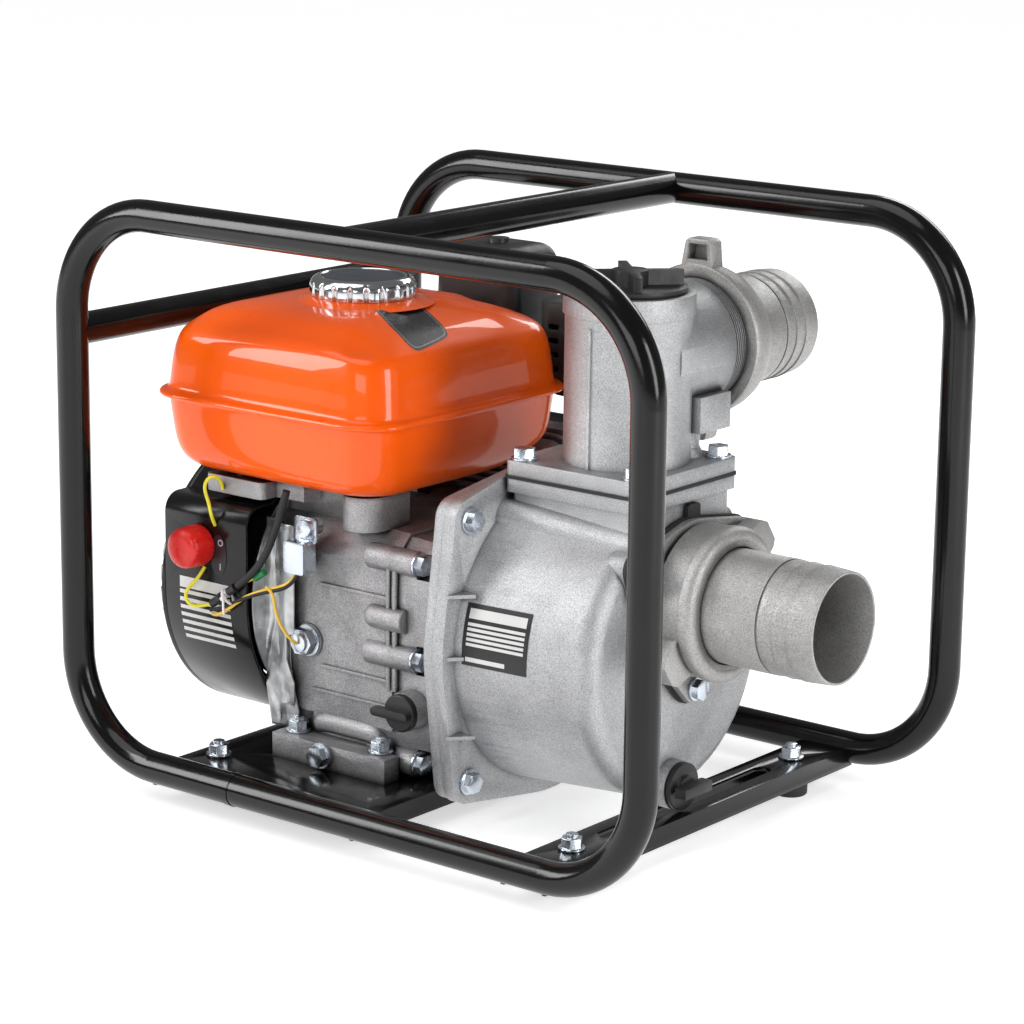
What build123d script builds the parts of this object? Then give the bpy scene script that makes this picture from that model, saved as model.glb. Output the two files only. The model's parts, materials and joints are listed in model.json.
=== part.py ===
from build123d import *
import os
from math import sin, cos, radians, pi

os.makedirs("parts", exist_ok=True)

# ---------------------------------------------------------------------------
# Petrol-engine centrifugal water pump in a tubular carrying frame.
# Millimetres. +Z up, z = 0 on the floor under the rubber feet. +X runs along
# the crankshaft towards the suction port, +Y towards the discharge port.
# Drawing positions are taken from the middle of the frame; CX moves them so
# that the origin lies in the middle of the whole pump's footprint.
# ---------------------------------------------------------------------------
SUCTION_END = 277.0                     # end of the suction hose tail
FRAME_HX, FRAME_HY = 242.0, 175.0       # tube centre lines from the middle
TUBE_R, TUBE_WALL = 11.0, 1.6
BEND_R = 72.0
Z_LOW, Z_HIGH = 25.0, 405.0             # centre lines of bottom and top tubes
CX = -(SUCTION_END - (FRAME_HX + TUBE_R)) / 2

TOP_BAR_X, REAR_BAR_Z = 4.0, 320.0
DECK_TOP, DECK_T = 26.0, 3.0            # engine base plate and front channel
DECK_X0, DECK_X1 = -172.0, 10.0
CHAN_X, CHAN_W, CHAN_H = 152.0, 36.0, 14.0
FOOT_R = 12.0
FEET = [(152.0, -125.0), (152.0, 125.0), (-154.0, -128.0), (-154.0, 128.0)]

CRANK_Y, CRANK_Z = -9.0, 130.0          # crankshaft axis
BOLT_X = (-113.0, -38.0)                # engine foot bolts
BOLT_Y = (-91.0, 71.0)
CASE_X0, CASE_X1 = -125.0, -33.0        # crankcase, then its side cover
PTO_X = 12.0
CYL_X, CYL_TILT = -75.0, 25.0           # cylinder centre, tilt above level
BORE_R, STROKE = 34.0, 45.0
DECK_S, HEAD_S, ROCKER_S = 125.0, 166.0, 192.0   # stations along the cylinder
PORT = (124.0, 192.0)                  # inlet and exhaust port centres (Y, Z)
JOURNAL_R, SHAFT_R = 12.5, 10.0
BEARING_R, BEARING_W = 26.0, 15.0
RUN = 0.05                              # running clearance, radial

COVER_R, COVER_X0, COVER_X1 = 100.0, -222.0, -145.0   # fan cover
RECOIL_X = -240.0

TANK_X0, TANK_X1 = -236.0, -20.0        # over the seam flange
TANK_Y0, TANK_Y1 = -117.0, 104.0
TANK_Z0, SEAM_Z, TANK_Z1 = 216.0, 270.0, 334.0
CAP_X, CAP_Y, CAP_R, CAP_TOP = -126.0, -9.0, 37.0, 351.0

FLANGE_X0, FLANGE_XM, FLANGE_X1 = 26.0, 35.0, 44.0    # pump flange joint
PUMP_BOLT = 89.0                        # bolt offsets from the crank axis
DRUM_R, DRUM_X1 = 97.0, 150.0
NECK_X, NECK_Y, NECK_H = 99.0, -8.0, 55.0             # neck, half width
NECK_Z = 242.0                          # top of the casing's neck flange
ELBOW_T = 10.0
SUC_Y, SUC_Z = -9.0, 170.0              # suction port
FLAP_X, FLAP_Z = 134.5, 209.0           # pivot of the check-valve flap
DIS_X, DIS_Z = 103.0, 323.0             # discharge port
DIS_END = 160.0
TAIL_R, TAIL_BORE = 38.0, 35.0          # three-inch hose tails
PORT_R = 34.0                           # cast water ways behind them
NECK_R = 42.0                           # outside of the port threads
THREAD_GAP = 0.35


def XYp(z):
    return Plane(origin=(CX, 0, z), x_dir=(1, 0, 0), z_dir=(0, 0, 1))


def YZp(x):
    return Plane(origin=(CX + x, 0, 0), x_dir=(0, 1, 0), z_dir=(1, 0, 0))


def XZp(y):
    return Plane(origin=(CX, y, 0), x_dir=(1, 0, 0), z_dir=(0, -1, 0))


CRANK = Axis((CX, CRANK_Y, CRANK_Z), (1, 0, 0))
CYL = Plane(origin=(CX + CYL_X, CRANK_Y, CRANK_Z), x_dir=(1, 0, 0),
            z_dir=(0, cos(radians(CYL_TILT)), sin(radians(CYL_TILT))))


# ---------------------------------------------------------------- frame ----
with BuildPart() as frame_near_loop:
    with BuildLine(XZp(-FRAME_HY)) as path:
        FilletPolyline((0, Z_LOW), (FRAME_HX, Z_LOW), (FRAME_HX, Z_HIGH),
                       (0, Z_HIGH), radius=BEND_R)
    with BuildSketch(YZp(0)):
        with Locations((-FRAME_HY, Z_LOW)):
            Circle(TUBE_R)
            Circle(TUBE_R - TUBE_WALL, mode=Mode.SUBTRACT)
    sweep(path=path.line)
    mirror(about=YZp(0))
    # butt weld in the bottom run
    with BuildSketch(YZp(-95)):
        with Locations((-FRAME_HY, Z_LOW)):
            Circle(TUBE_R + 0.5)
            Circle(TUBE_R - 0.5, mode=Mode.SUBTRACT)
    extrude(amount=2.4, both=True)

with BuildPart() as frame_far_loop:
    with BuildLine(XZp(FRAME_HY)) as path:
        FilletPolyline((0, Z_LOW), (FRAME_HX, Z_LOW), (FRAME_HX, Z_HIGH),
                       (0, Z_HIGH), radius=BEND_R)
    with BuildSketch(YZp(0)):
        with Locations((FRAME_HY, Z_LOW)):
            Circle(TUBE_R)
            Circle(TUBE_R - TUBE_WALL, mode=Mode.SUBTRACT)
    sweep(path=path.line)
    mirror(about=YZp(0))
    # butt weld in the bottom run
    with BuildSketch(YZp(-95)):
        with Locations((FRAME_HY, Z_LOW)):
            Circle(TUBE_R + 0.5)
            Circle(TUBE_R - 0.5, mode=Mode.SUBTRACT)
    extrude(amount=2.4, both=True)

# two cross tubes, notched to sit on the loops
with BuildPart() as frame_cross_bars:
    with BuildSketch(XZp(FRAME_HY)):
        with Locations((TOP_BAR_X, Z_HIGH), (-FRAME_HX, REAR_BAR_Z)):
            Circle(TUBE_R)
            Circle(TUBE_R - TUBE_WALL, mode=Mode.SUBTRACT)
    extrude(amount=2 * FRAME_HY)
    with BuildSketch(YZp(-60)):
        with Locations((-FRAME_HY, Z_HIGH), (FRAME_HY, Z_HIGH)):
            Circle(TUBE_R)
    extrude(amount=120, mode=Mode.SUBTRACT)
    with BuildSketch(XYp(REAR_BAR_Z - 40)):
        with Locations((-FRAME_HX, -FRAME_HY), (-FRAME_HX, FRAME_HY)):
            Circle(TUBE_R)
    extrude(amount=80, mode=Mode.SUBTRACT)

# pressed engine base plate with folded ends and a swaged rim
with BuildPart() as engine_base_plate:
    with BuildSketch(XYp(DECK_TOP - DECK_T)):
        with Locations(((DECK_X0 + DECK_X1) / 2, 0)):
            Rectangle(DECK_X1 - DECK_X0, 2 * FRAME_HY)
        with Locations((-78, -10)):
            RectangleRounded(64, 96, 10, mode=Mode.SUBTRACT)
        with Locations(*[(x, y) for x in BOLT_X for y in BOLT_Y]):
            Circle(4.4, mode=Mode.SUBTRACT)
        with Locations(FEET[2], FEET[3]):
            Circle(4.4, mode=Mode.SUBTRACT)
    extrude(amount=DECK_T)
    with BuildSketch(XYp(DECK_TOP)):
        with Locations((DECK_X0 + 1.5, 0), (DECK_X1 - 1.5, 0)):
            Rectangle(3, 2 * FRAME_HY)
    extrude(amount=-CHAN_H)
    with BuildSketch(YZp(DECK_X0 - 1)):
        with Locations((-FRAME_HY, Z_LOW), (FRAME_HY, Z_LOW)):
            Circle(TUBE_R)
    extrude(amount=DECK_X1 - DECK_X0 + 2, mode=Mode.SUBTRACT)
    with BuildSketch(YZp(DECK_X0 - 1)):
        with Locations((-FRAME_HY - 20, Z_LOW), (FRAME_HY + 20, Z_LOW)):
            Rectangle(40, 40)
    extrude(amount=DECK_X1 - DECK_X0 + 2, mode=Mode.SUBTRACT)
    with BuildSketch(YZp(-98.5)):
        with Locations((-FRAME_HY, Z_LOW), (FRAME_HY, Z_LOW)):
            Circle(TUBE_R + 0.8)
    extrude(amount=7, mode=Mode.SUBTRACT)

# pressed front channel with its long slot
with BuildPart() as front_channel:
    with BuildSketch(YZp(0)):
        with Locations((0, DECK_TOP - DECK_T / 2)):
            Rectangle(2 * FRAME_HY, DECK_T)
    extrude(amount=CHAN_X + CHAN_W / 2)
    with BuildSketch(XYp(DECK_TOP)):
        Rectangle(2 * (CHAN_X - CHAN_W / 2), 2 * FRAME_HY + 2)
    extrude(amount=-10, mode=Mode.SUBTRACT)
    with BuildSketch(XYp(DECK_TOP)):
        with Locations((CHAN_X - CHAN_W / 2 + 1.5, 0), (CHAN_X + CHAN_W / 2 - 1.5, 0)):
            Rectangle(3, 2 * FRAME_HY)
    extrude(amount=-CHAN_H)
    with BuildSketch(XYp(DECK_TOP)):
        with Locations((CHAN_X, 0)):
            SlotOverall(190, 13, rotation=90)
        with Locations(FEET[0], FEET[1]):
            Circle(4.4)
    extrude(amount=-6, mode=Mode.SUBTRACT)
    with BuildSketch(YZp(CHAN_X - CHAN_W)):
        with Locations((-FRAME_HY, Z_LOW), (FRAME_HY, Z_LOW)):
            Circle(TUBE_R)
        with Locations((-FRAME_HY - 20, Z_LOW), (FRAME_HY + 20, Z_LOW)):
            Rectangle(40, 40)
    extrude(amount=2 * CHAN_W, mode=Mode.SUBTRACT)

with BuildPart() as rubber_feet:
    with BuildSketch(XYp(0)):
        with Locations(*FEET):
            Circle(FOOT_R)
    extrude(amount=15)
    chamfer(rubber_feet.faces().sort_by(Axis.Z)[0:4].edges(), 1.2)
    with BuildSketch(XYp(15)):
        with Locations(*FEET):
            Circle(FOOT_R - 2)
    extrude(amount=DECK_TOP - DECK_T - 15)
    with BuildSketch(XYp(DECK_TOP - DECK_T)):
        with Locations(*FEET):
            Circle(4.3)
    extrude(amount=-14, mode=Mode.SUBTRACT)

# --------------------------------------------------------------- engine ----
CASE_OUT = [(-85, 40), (-85, 172), (-66, 192), (30, 192), (75, 172), (75, 40)]
CASE_IN = [(-78, 50), (-78, 167), (-62, 184), (26, 184), (67, 166), (67, 50)]
COVER_LOBES = [(-80, 176), (-82, 110), (-80, 37), (40, 182), (72, 112), (56, 43)]

with BuildPart() as crankcase:
    with BuildSketch(YZp(CASE_X0)):
        with BuildLine():
            Polyline(*CASE_OUT, close=True)
        make_face()
    extrude(amount=CASE_X1 - CASE_X0)
    # barrel and deck along the tilted cylinder axis
    with BuildSketch(CYL.offset(50)):
        RectangleRounded(82, 82, 30)
    extrude(amount=DECK_S - 50)
    for s in (74, 82, 90, 98, 106):
        with BuildSketch(CYL.offset(s)):
            RectangleRounded(83, 90, 14)
        extrude(amount=2.6)
    with BuildSketch(CYL.offset(DECK_S - 11)):
        RectangleRounded(83, 90, 12)
    extrude(amount=11)
    # sump feet: a block with two side strips that carry the foot bolts
    with BuildSketch(XYp(DECK_TOP)):
        with Locations(((CASE_X0 + CASE_X1) / 2, -8.5)):
            Rectangle(CASE_X1 - CASE_X0, 193)
        with Locations((-74, -97.5), (-74, 90)):
            Rectangle(102, 15)
    extrude(amount=17)
    # cavity, open towards the side cover
    with BuildSketch(YZp(CASE_X1)):
        with BuildLine():
            Polyline(*CASE_IN, close=True)
        make_face()
    extrude(amount=CASE_X0 + 7 - CASE_X1, mode=Mode.SUBTRACT)
    with BuildSketch(CYL.offset(30)):
        Circle(BORE_R)
    extrude(amount=DECK_S, mode=Mode.SUBTRACT)
    # main bearing boss on the flywheel side
    with BuildSketch(YZp(CASE_X0)):
        with Locations((CRANK_Y, CRANK_Z)):
            Circle(33)
    extrude(amount=-11)
    with BuildSketch(YZp(CASE_X0 + 8)):
        with Locations((CRANK_Y, CRANK_Z)):
            Circle(BEARING_R)
    extrude(amount=-BEARING_W - 1, mode=Mode.SUBTRACT)
    with BuildSketch(YZp(CASE_X0)):
        with Locations((CRANK_Y, CRANK_Z)):
            Circle(14)
    extrude(amount=-30, mode=Mode.SUBTRACT)
    # lobes for the side cover screws
    with BuildSketch(YZp(CASE_X1)):
        with Locations(*COVER_LOBES):
            Circle(9)
    extrude(amount=-22)
    with BuildSketch(YZp(CASE_X1)):
        with Locations(*COVER_LOBES):
            Circle(4.3)
    extrude(amount=-18, mode=Mode.SUBTRACT)
    # sensor boss, drain boss and raised pads on the near wall
    with BuildSketch(XZp(-85)):
        with Locations((-108, 108)):
            Circle(12)
        with Locations((-66, 150)):
            Rectangle(62, 2)
        with Locations((-66, 92)):
            Rectangle(60, 2)
        with Locations((-70, 74)):
            Rectangle(70, 2)
    extrude(amount=1.6)
    with BuildSketch(XZp(-86.6)):
        with Locations((-108, 108)):
            Circle(5.2)
    extrude(amount=-12, mode=Mode.SUBTRACT)
    with BuildSketch(XZp(-105)):
        with Locations((-78, 36)):
            Circle(9)
    extrude(amount=2)
    with BuildSketch(XZp(-107)):
        with Locations((-78, 36)):
            Circle(5.2)
    extrude(amount=-18, mode=Mode.SUBTRACT)
    with BuildSketch(XYp(DECK_TOP)):
        with Locations(*[(x, y) for x in BOLT_X for y in BOLT_Y]):
            Circle(4.4)
    extrude(amount=17, mode=Mode.SUBTRACT)
    # spot face the wall above each foot bolt so the bolt heads clear it
    with BuildSketch(XYp(DECK_TOP + 17)):
        with Locations(*[(x, y) for x in BOLT_X for y in BOLT_Y]):
            Circle(10.5)
    extrude(amount=14, mode=Mode.SUBTRACT)

COVER_OUT = [(-80, 36), (-84, 60), (-84, 170), (-66, 190), (28, 190), (73, 172), (73, 36)]
COVER_IN = [(-75, 50), (-77, 62), (-77, 164), (-62, 183), (25, 183), (66, 168), (66, 50)]
with BuildPart() as side_cover:
    with BuildSketch(YZp(CASE_X1)):
        with BuildLine():
            Polyline(*COVER_OUT, close=True)
        make_face()
    extrude(amount=34, taper=4)
    with BuildSketch(YZp(CASE_X1)):
        with Locations(*COVER_LOBES):
            Circle(9)
    extrude(amount=19)
    with BuildSketch(YZp(CASE_X1)):
        with BuildLine():
            Polyline(*COVER_IN, close=True)
        make_face()
    extrude(amount=27, taper=5, mode=Mode.SUBTRACT)
    # round seat for the pump bracket
    with BuildSketch(YZp(CASE_X1 + 30)):
        with Locations((CRANK_Y, CRANK_Z)):
            Circle(56)
    extrude(amount=PTO_X - CASE_X1 - 30)
    with BuildSketch(YZp(CASE_X1 + 22)):
        with Locations((CRANK_Y, CRANK_Z)):
            Circle(32)
    extrude(amount=10)
    with BuildSketch(YZp(CASE_X1 + 20)):
        with Locations((CRANK_Y, CRANK_Z)):
            Circle(BEARING_R)
    extrude(amount=BEARING_W + 3, mode=Mode.SUBTRACT)
    with BuildSketch(YZp(CASE_X1)):
        with Locations((CRANK_Y, CRANK_Z)):
            Circle(14)
    extrude(amount=60, mode=Mode.SUBTRACT)
    with BuildSketch(YZp(CASE_X1)):
        with Locations(*COVER_LOBES):
            Circle(4.3)
    extrude(amount=19, mode=Mode.SUBTRACT)
    with BuildSketch(YZp(CASE_X1 + 19)):
        with Locations(*COVER_LOBES):
            Circle(10)
    extrude(amount=30, mode=Mode.SUBTRACT)
    with BuildSketch(XYp(DECK_TOP + 17)):
        with Locations(*[(BOLT_X[1], y) for y in BOLT_Y]):
            Circle(10.5)
    extrude(amount=14, mode=Mode.SUBTRACT)
    # four tapped holes for the bracket
    with BuildSketch(YZp(PTO_X)):
        with Locations((CRANK_Y, CRANK_Z)):
            with PolarLocations(46, 4, start_angle=45):
                Circle(4.3)
    extrude(amount=-14, mode=Mode.SUBTRACT)
    # oil filler neck on the near wall
    with BuildSketch(XZp(-70)):
        with Locations((-16, 76)):
            Circle(13.5)
    extrude(amount=24)
    with BuildSketch(XZp(-94)):
        with Locations((-16, 76)):
            Circle(9.4)
    extrude(amount=-30, mode=Mode.SUBTRACT)

# black screw plug with a tongue handle and dipstick
with BuildPart() as oil_plug_seal:
    with BuildSketch(XZp(-94.02)):
        with Locations((-16, 76)):
            Circle(12)
            Circle(9.5, mode=Mode.SUBTRACT)
    extrude(amount=1.46)

with BuildPart() as oil_filler_plug:
    with BuildSketch(XZp(-95.5)):
        with Locations((-16, 76)):
            Circle(13)
    extrude(amount=3.5)
    fillet(oil_filler_plug.faces().sort_by(Axis.Y)[0].edges(), 1.5)
    with BuildSketch(XZp(-95.5)):
        with Locations((-16, 76)):
            Circle(9.0)
    extrude(amount=-21.5)
    with BuildSketch(XZp(-82)):
        with Locations((-16, 76)):
            Circle(2.2)
    extrude(amount=-28)
    with BuildSketch(XZp(-99)):
        with Locations((-20, 76)):
            SlotOverall(32, 6)
    extrude(amount=6)

with BuildPart() as cylinder_head:
    with BuildSketch(CYL.offset(DECK_S)):
        RectangleRounded(92, 90, 12)
    extrude(amount=12)
    with BuildSketch(CYL.offset(DECK_S + 12)):
        RectangleRounded(84, 76, 14)
    extrude(amount=HEAD_S - DECK_S - 12)
    for s in (142, 150):
        with BuildSketch(CYL.offset(s)):
            RectangleRounded(92, 90, 12)
        extrude(amount=2.6)
    # inlet stub towards the flywheel, exhaust stub towards the pump
    with BuildSketch(YZp(CYL_X - 46)):
        with Locations(PORT):
            Circle(15)
    extrude(amount=92)
    with BuildSketch(YZp(CYL_X - 46)):
        with Locations(PORT):
            Circle(11)
    extrude(amount=22, mode=Mode.SUBTRACT)
    with BuildSketch(YZp(CYL_X + 46)):
        with Locations(PORT):
            Circle(11)
    extrude(amount=-22, mode=Mode.SUBTRACT)
    # combustion chamber and plug hole
    with BuildSketch(CYL.offset(DECK_S)):
        Circle(30)
    extrude(amount=7, mode=Mode.SUBTRACT)
    with BuildSketch(CYL.offset(HEAD_S)):
        with Locations((-35, 0)):
            Circle(7.2)
    extrude(amount=-30, mode=Mode.SUBTRACT)
    # rocker chamber, open under the rocker cover
    with BuildSketch(CYL.offset(HEAD_S)):
        with Locations((9, 0)):
            RectangleRounded(54, 58, 8)
    extrude(amount=-10, mode=Mode.SUBTRACT)

with BuildPart() as rocker_cover:
    with BuildSketch(CYL.offset(HEAD_S)):
        with Locations((9, 0)):
            RectangleRounded(64, 70, 10)
    extrude(amount=3)
    with BuildSketch(CYL.offset(HEAD_S + 3)):
        with Locations((9, 0)):
            RectangleRounded(56, 60, 9)
    extrude(amount=ROCKER_S - HEAD_S - 3, taper=6)
    fillet(rocker_cover.faces().sort_by(Axis((0, 0, 0), (0, cos(radians(CYL_TILT)), sin(radians(CYL_TILT)))))[-1].edges(), 6)
    with BuildSketch(CYL.offset(HEAD_S)):
        with Locations((9, 0)):
            RectangleRounded(50, 54, 7)
    extrude(amount=ROCKER_S - HEAD_S - 3, taper=6, mode=Mode.SUBTRACT)

with BuildPart() as spark_plug:
    with BuildSketch(CYL.offset(HEAD_S - 22)):
        with Locations((-35, 0)):
            Circle(7)
    extrude(amount=22)
    with BuildSketch(CYL.offset(HEAD_S)):
        with Locations((-35, 0)):
            RegularPolygon(11, 6)
    extrude(amount=8)
    with BuildSketch(CYL.offset(HEAD_S + 8)):
        with Locations((-35, 0)):
            Circle(5.5)
    extrude(amount=16)

with BuildPart() as spark_plug_cap:
    with BuildSketch(CYL.offset(HEAD_S + 10)):
        with Locations((-35, 0)):
            Circle(9)
            Circle(5.6, mode=Mode.SUBTRACT)
    extrude(amount=14)
    with BuildSketch(CYL.offset(HEAD_S + 24)):
        with Locations((-35, 0)):
            Circle(9)
    extrude(amount=10)
    with BuildSketch(YZp(CYL_X - 35)):
        with Locations((CRANK_Y + 196 * cos(radians(25)), CRANK_Z + 196 * sin(radians(25)))):
            Circle(5)
    extrude(amount=-20)

# ------------------------------------------------------- running gear ------
with BuildPart() as crankshaft:
    # flywheel-side journal, web pair with crankpin, output shaft
    with BuildSketch(YZp(-212)):
        with Locations((CRANK_Y, CRANK_Z)):
            Circle(7)
    extrude(amount=14)
    with BuildSketch(YZp(-198)):
        with Locations((CRANK_Y, CRANK_Z)):
            Circle(JOURNAL_R - RUN)
    extrude(amount=100)
    with BuildSketch(YZp(-52)):
        with Locations((CRANK_Y, CRANK_Z)):
            Circle(JOURNAL_R - RUN)
    extrude(amount=PTO_X + 2 + 52)
    with BuildSketch(YZp(PTO_X + 2)):
        with Locations((CRANK_Y, CRANK_Z)):
            Circle(SHAFT_R)
    extrude(amount=76)
    # throw at top dead centre, counterweights opposite
    for x in (-98, -63):
        with BuildSketch(YZp(x)):
            with Locations((CRANK_Y, CRANK_Z)):
                Circle(19)
            with Locations((CRANK_Y + 22.5 * cos(radians(25)), CRANK_Z + 22.5 * sin(radians(25)))):
                Circle(18)
            with Locations((CRANK_Y - 20 * cos(radians(25)), CRANK_Z - 20 * sin(radians(25)))):
                RectangleRounded(30, 60, 10, rotation=25)
        extrude(amount=11)
    with BuildSketch(YZp(-98)):
        with Locations((CRANK_Y + 22.5 * cos(radians(25)), CRANK_Z + 22.5 * sin(radians(25)))):
            Circle(14.5)
    extrude(amount=46)

with BuildPart() as main_bearings:
    for x in (CASE_X0 + 8 - BEARING_W, CASE_X1 + 21):
        with BuildSketch(YZp(x)):
            with Locations((CRANK_Y, CRANK_Z)):
                Circle(BEARING_R)
                Circle(JOURNAL_R, mode=Mode.SUBTRACT)
        extrude(amount=BEARING_W)
        for y0 in (x, x + BEARING_W - 1.5):
            with BuildSketch(YZp(y0)):
                with Locations((CRANK_Y, CRANK_Z)):
                    Circle(22)
                    Circle(17, mode=Mode.SUBTRACT)
            extrude(amount=1.5, mode=Mode.SUBTRACT)

# rod and piston stand at top dead centre; the rod's eye is open all round the
# circle that the crankpin turns in
with BuildPart() as connecting_rod:
    with BuildSketch(YZp(-84)):
        with Locations((CRANK_Y, CRANK_Z)):
            Circle(43)
        with Locations((CRANK_Y + 102 * cos(radians(25)), CRANK_Z + 102 * sin(radians(25)))):
            Circle(12.5)
        with Locations((CRANK_Y + 70 * cos(radians(25)), CRANK_Z + 70 * sin(radians(25)))):
            Rectangle(62, 14, rotation=25)
        with Locations((CRANK_Y, CRANK_Z)):
            Circle(38.5, mode=Mode.SUBTRACT)
        with Locations((CRANK_Y + 102 * cos(radians(25)), CRANK_Z + 102 * sin(radians(25)))):
            Circle(9, mode=Mode.SUBTRACT)
    extrude(amount=18)

with BuildPart() as piston:
    with BuildSketch(CYL.offset(80)):
        Circle(BORE_R - RUN)
    extrude(amount=43)
    with BuildSketch(CYL.offset(80)):
        Circle(BORE_R - 4.5)
    extrude(amount=37, mode=Mode.SUBTRACT)
    for s in (107, 111.5, 116):
        with BuildSketch(CYL.offset(s)):
            Circle(BORE_R + 1)
            Circle(BORE_R - 2.2, mode=Mode.SUBTRACT)
        extrude(amount=1.6, mode=Mode.SUBTRACT)
    # gudgeon pin
    with BuildSketch(YZp(CYL_X - 31)):
        with Locations((CRANK_Y + 102 * cos(radians(25)), CRANK_Z + 102 * sin(radians(25)))):
            Circle(8.8)
    extrude(amount=62)

with BuildPart() as flywheel:
    with BuildSketch(YZp(-175)):
        with Locations((CRANK_Y, CRANK_Z)):
            Circle(78)
            Circle(JOURNAL_R - RUN, mode=Mode.SUBTRACT)
    extrude(amount=22)
    with BuildSketch(YZp(-153)):
        with Locations((CRANK_Y, CRANK_Z)):
            Circle(66)
            Circle(22, mode=Mode.SUBTRACT)
    extrude(amount=-12, mode=Mode.SUBTRACT)
    # starter cup bolted on the outer face
    with BuildSketch(YZp(-198)):
        with Locations((CRANK_Y, CRANK_Z)):
            Circle(36)
            Circle(7, mode=Mode.SUBTRACT)
    extrude(amount=-12)
    with BuildSketch(YZp(-210)):
        with Locations((CRANK_Y, CRANK_Z)):
            Circle(33)
            Circle(7, mode=Mode.SUBTRACT)
    extrude(amount=10, mode=Mode.SUBTRACT)
    with BuildSketch(YZp(-198)):
        with Locations((CRANK_Y, CRANK_Z)):
            Circle(20)
            Circle(JOURNAL_R - RUN, mode=Mode.SUBTRACT)
    extrude(amount=23)

with BuildPart() as cooling_fan:
    with BuildSketch(YZp(-178)):
        with Locations((CRANK_Y, CRANK_Z)):
            Circle(79)
            Circle(20, mode=Mode.SUBTRACT)
    extrude(amount=3)
    with BuildSketch(YZp(-178)):
        with Locations((CRANK_Y, CRANK_Z)):
            with PolarLocations(58, 18):
                Rectangle(38, 2.5, rotation=25)
    extrude(amount=-17)

# ------------------------------------------------ fan cover and starter ----
with BuildPart() as fan_cover:
    with BuildSketch(YZp(COVER_X1)):
        with Locations((CRANK_Y, CRANK_Z)):
            Circle(COVER_R)
        with Locations((60, 165)):
            RectangleRounded(90, 86, 14)
        with Locations((-84, 160.2)):
            RectangleRounded(50, 76.4, 13)
    extrude(amount=COVER_X0 - COVER_X1)
    with BuildSketch(YZp(COVER_X1)):
        with Locations((CRANK_Y, CRANK_Z)):
            Circle(COVER_R - 2)
        with Locations((60, 165)):
            RectangleRounded(86, 82, 12)
        with Locations((-84, 160.2)):
            RectangleRounded(46, 72.4, 11)
    extrude(amount=COVER_X0 - COVER_X1 + 2, mode=Mode.SUBTRACT)
    with BuildSketch(YZp(COVER_X0)):
        with Locations((CRANK_Y, CRANK_Z)):
            Circle(88)
    extrude(amount=3, mode=Mode.SUBTRACT)
    # flat top below the tank
    with BuildSketch(XYp(213)):
        with Locations(((COVER_X0 + COVER_X1) / 2, 0)):
            Rectangle(100, 300)
    extrude(amount=40, mode=Mode.SUBTRACT)
    with BuildSketch(XYp(211.5)):
        with Locations(((COVER_X0 + COVER_X1) / 2, 20)):
            Rectangle(COVER_X1 - COVER_X0, 164)
    extrude(amount=1.5)
    # switch hole in the near wall
    with BuildSketch(XZp(-80)):
        with Locations((-188, 167)):
            Circle(5.4)
    extrude(amount=50, mode=Mode.SUBTRACT)

with BuildPart() as recoil_housing:
    with BuildSketch(XZp(CRANK_Y)):
        with BuildLine():
            Polyline((COVER_X0, CRANK_Z + 90), (COVER_X0, CRANK_Z + 100),
                     (COVER_X0 - 4, CRANK_Z + 100), (RECOIL_X + 5, CRANK_Z + 92),
                     (RECOIL_X, CRANK_Z + 80), (RECOIL_X, CRANK_Z),
                     (RECOIL_X + 2.5, CRANK_Z), (RECOIL_X + 2.5, CRANK_Z + 78),
                     (RECOIL_X + 7, CRANK_Z + 89), (COVER_X0 - 3, CRANK_Z + 95),
                     (COVER_X0 - 3, CRANK_Z + 90), close=True)
        make_face()
    revolve(axis=CRANK, revolution_arc=360)
    # reel post
    with BuildSketch(YZp(RECOIL_X + 2)):
        with Locations((CRANK_Y, CRANK_Z)):
            Circle(8)
    extrude(amount=18)
    # cooling slots round the rim and over the face
    with BuildSketch(YZp(RECOIL_X - 1)):
        with Locations((CRANK_Y, CRANK_Z)):
            with PolarLocations(94, 36):
                Rectangle(24, 6.5)
    extrude(amount=14.5, mode=Mode.SUBTRACT)
    with BuildSketch(YZp(RECOIL_X - 1)):
        with Locations((CRANK_Y, CRANK_Z)):
            with PolarLocations(64, 20):
                SlotOverall(20, 5)
    extrude(amount=4, mode=Mode.SUBTRACT)
    # flat under the tank, and the rope guide
    with BuildSketch(XYp(211)):
        with Locations((RECOIL_X + 8, 0)):
            Rectangle(60, 300)
    extrude(amount=40, mode=Mode.SUBTRACT)

    # rope slot
    with BuildSketch(YZp(RECOIL_X + 8)):
        with Locations((68, 197)):
            Rectangle(34, 8, rotation=20.5)
    extrude(amount=9, mode=Mode.SUBTRACT)

# rope reel and rope
with BuildPart() as recoil_reel:
    with BuildSketch(YZp(-233)):
        with Locations((CRANK_Y, CRANK_Z)):
            Circle(44)
            Circle(8 + RUN, mode=Mode.SUBTRACT)
    extrude(amount=11)
    with BuildSketch(YZp(-230)):
        with Locations((CRANK_Y, CRANK_Z)):
            Circle(50)
            Circle(28, mode=Mode.SUBTRACT)
    extrude(amount=5, mode=Mode.SUBTRACT)


with BuildPart() as starter_rope:
    with BuildLine() as path:
        Line((CX - 227.5, -21.6, 163.7), (CX - 227.5, 56, 192.7))
        l2 = Line((CX - 230, 64, 196), (CX - 234.5, 70, 204))
        Spline((CX - 227.5, 56, 192.7), (CX - 230, 64, 196),
               tangents=[(0, 0.937, 0.35), (-0.41, 0.55, 0.73)])
    with BuildSketch(Plane(origin=(CX - 227.5, -21.6, 163.7), z_dir=(0, 0.937, 0.35))):
        Circle(1.8)
    sweep(path=path.line)

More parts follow.
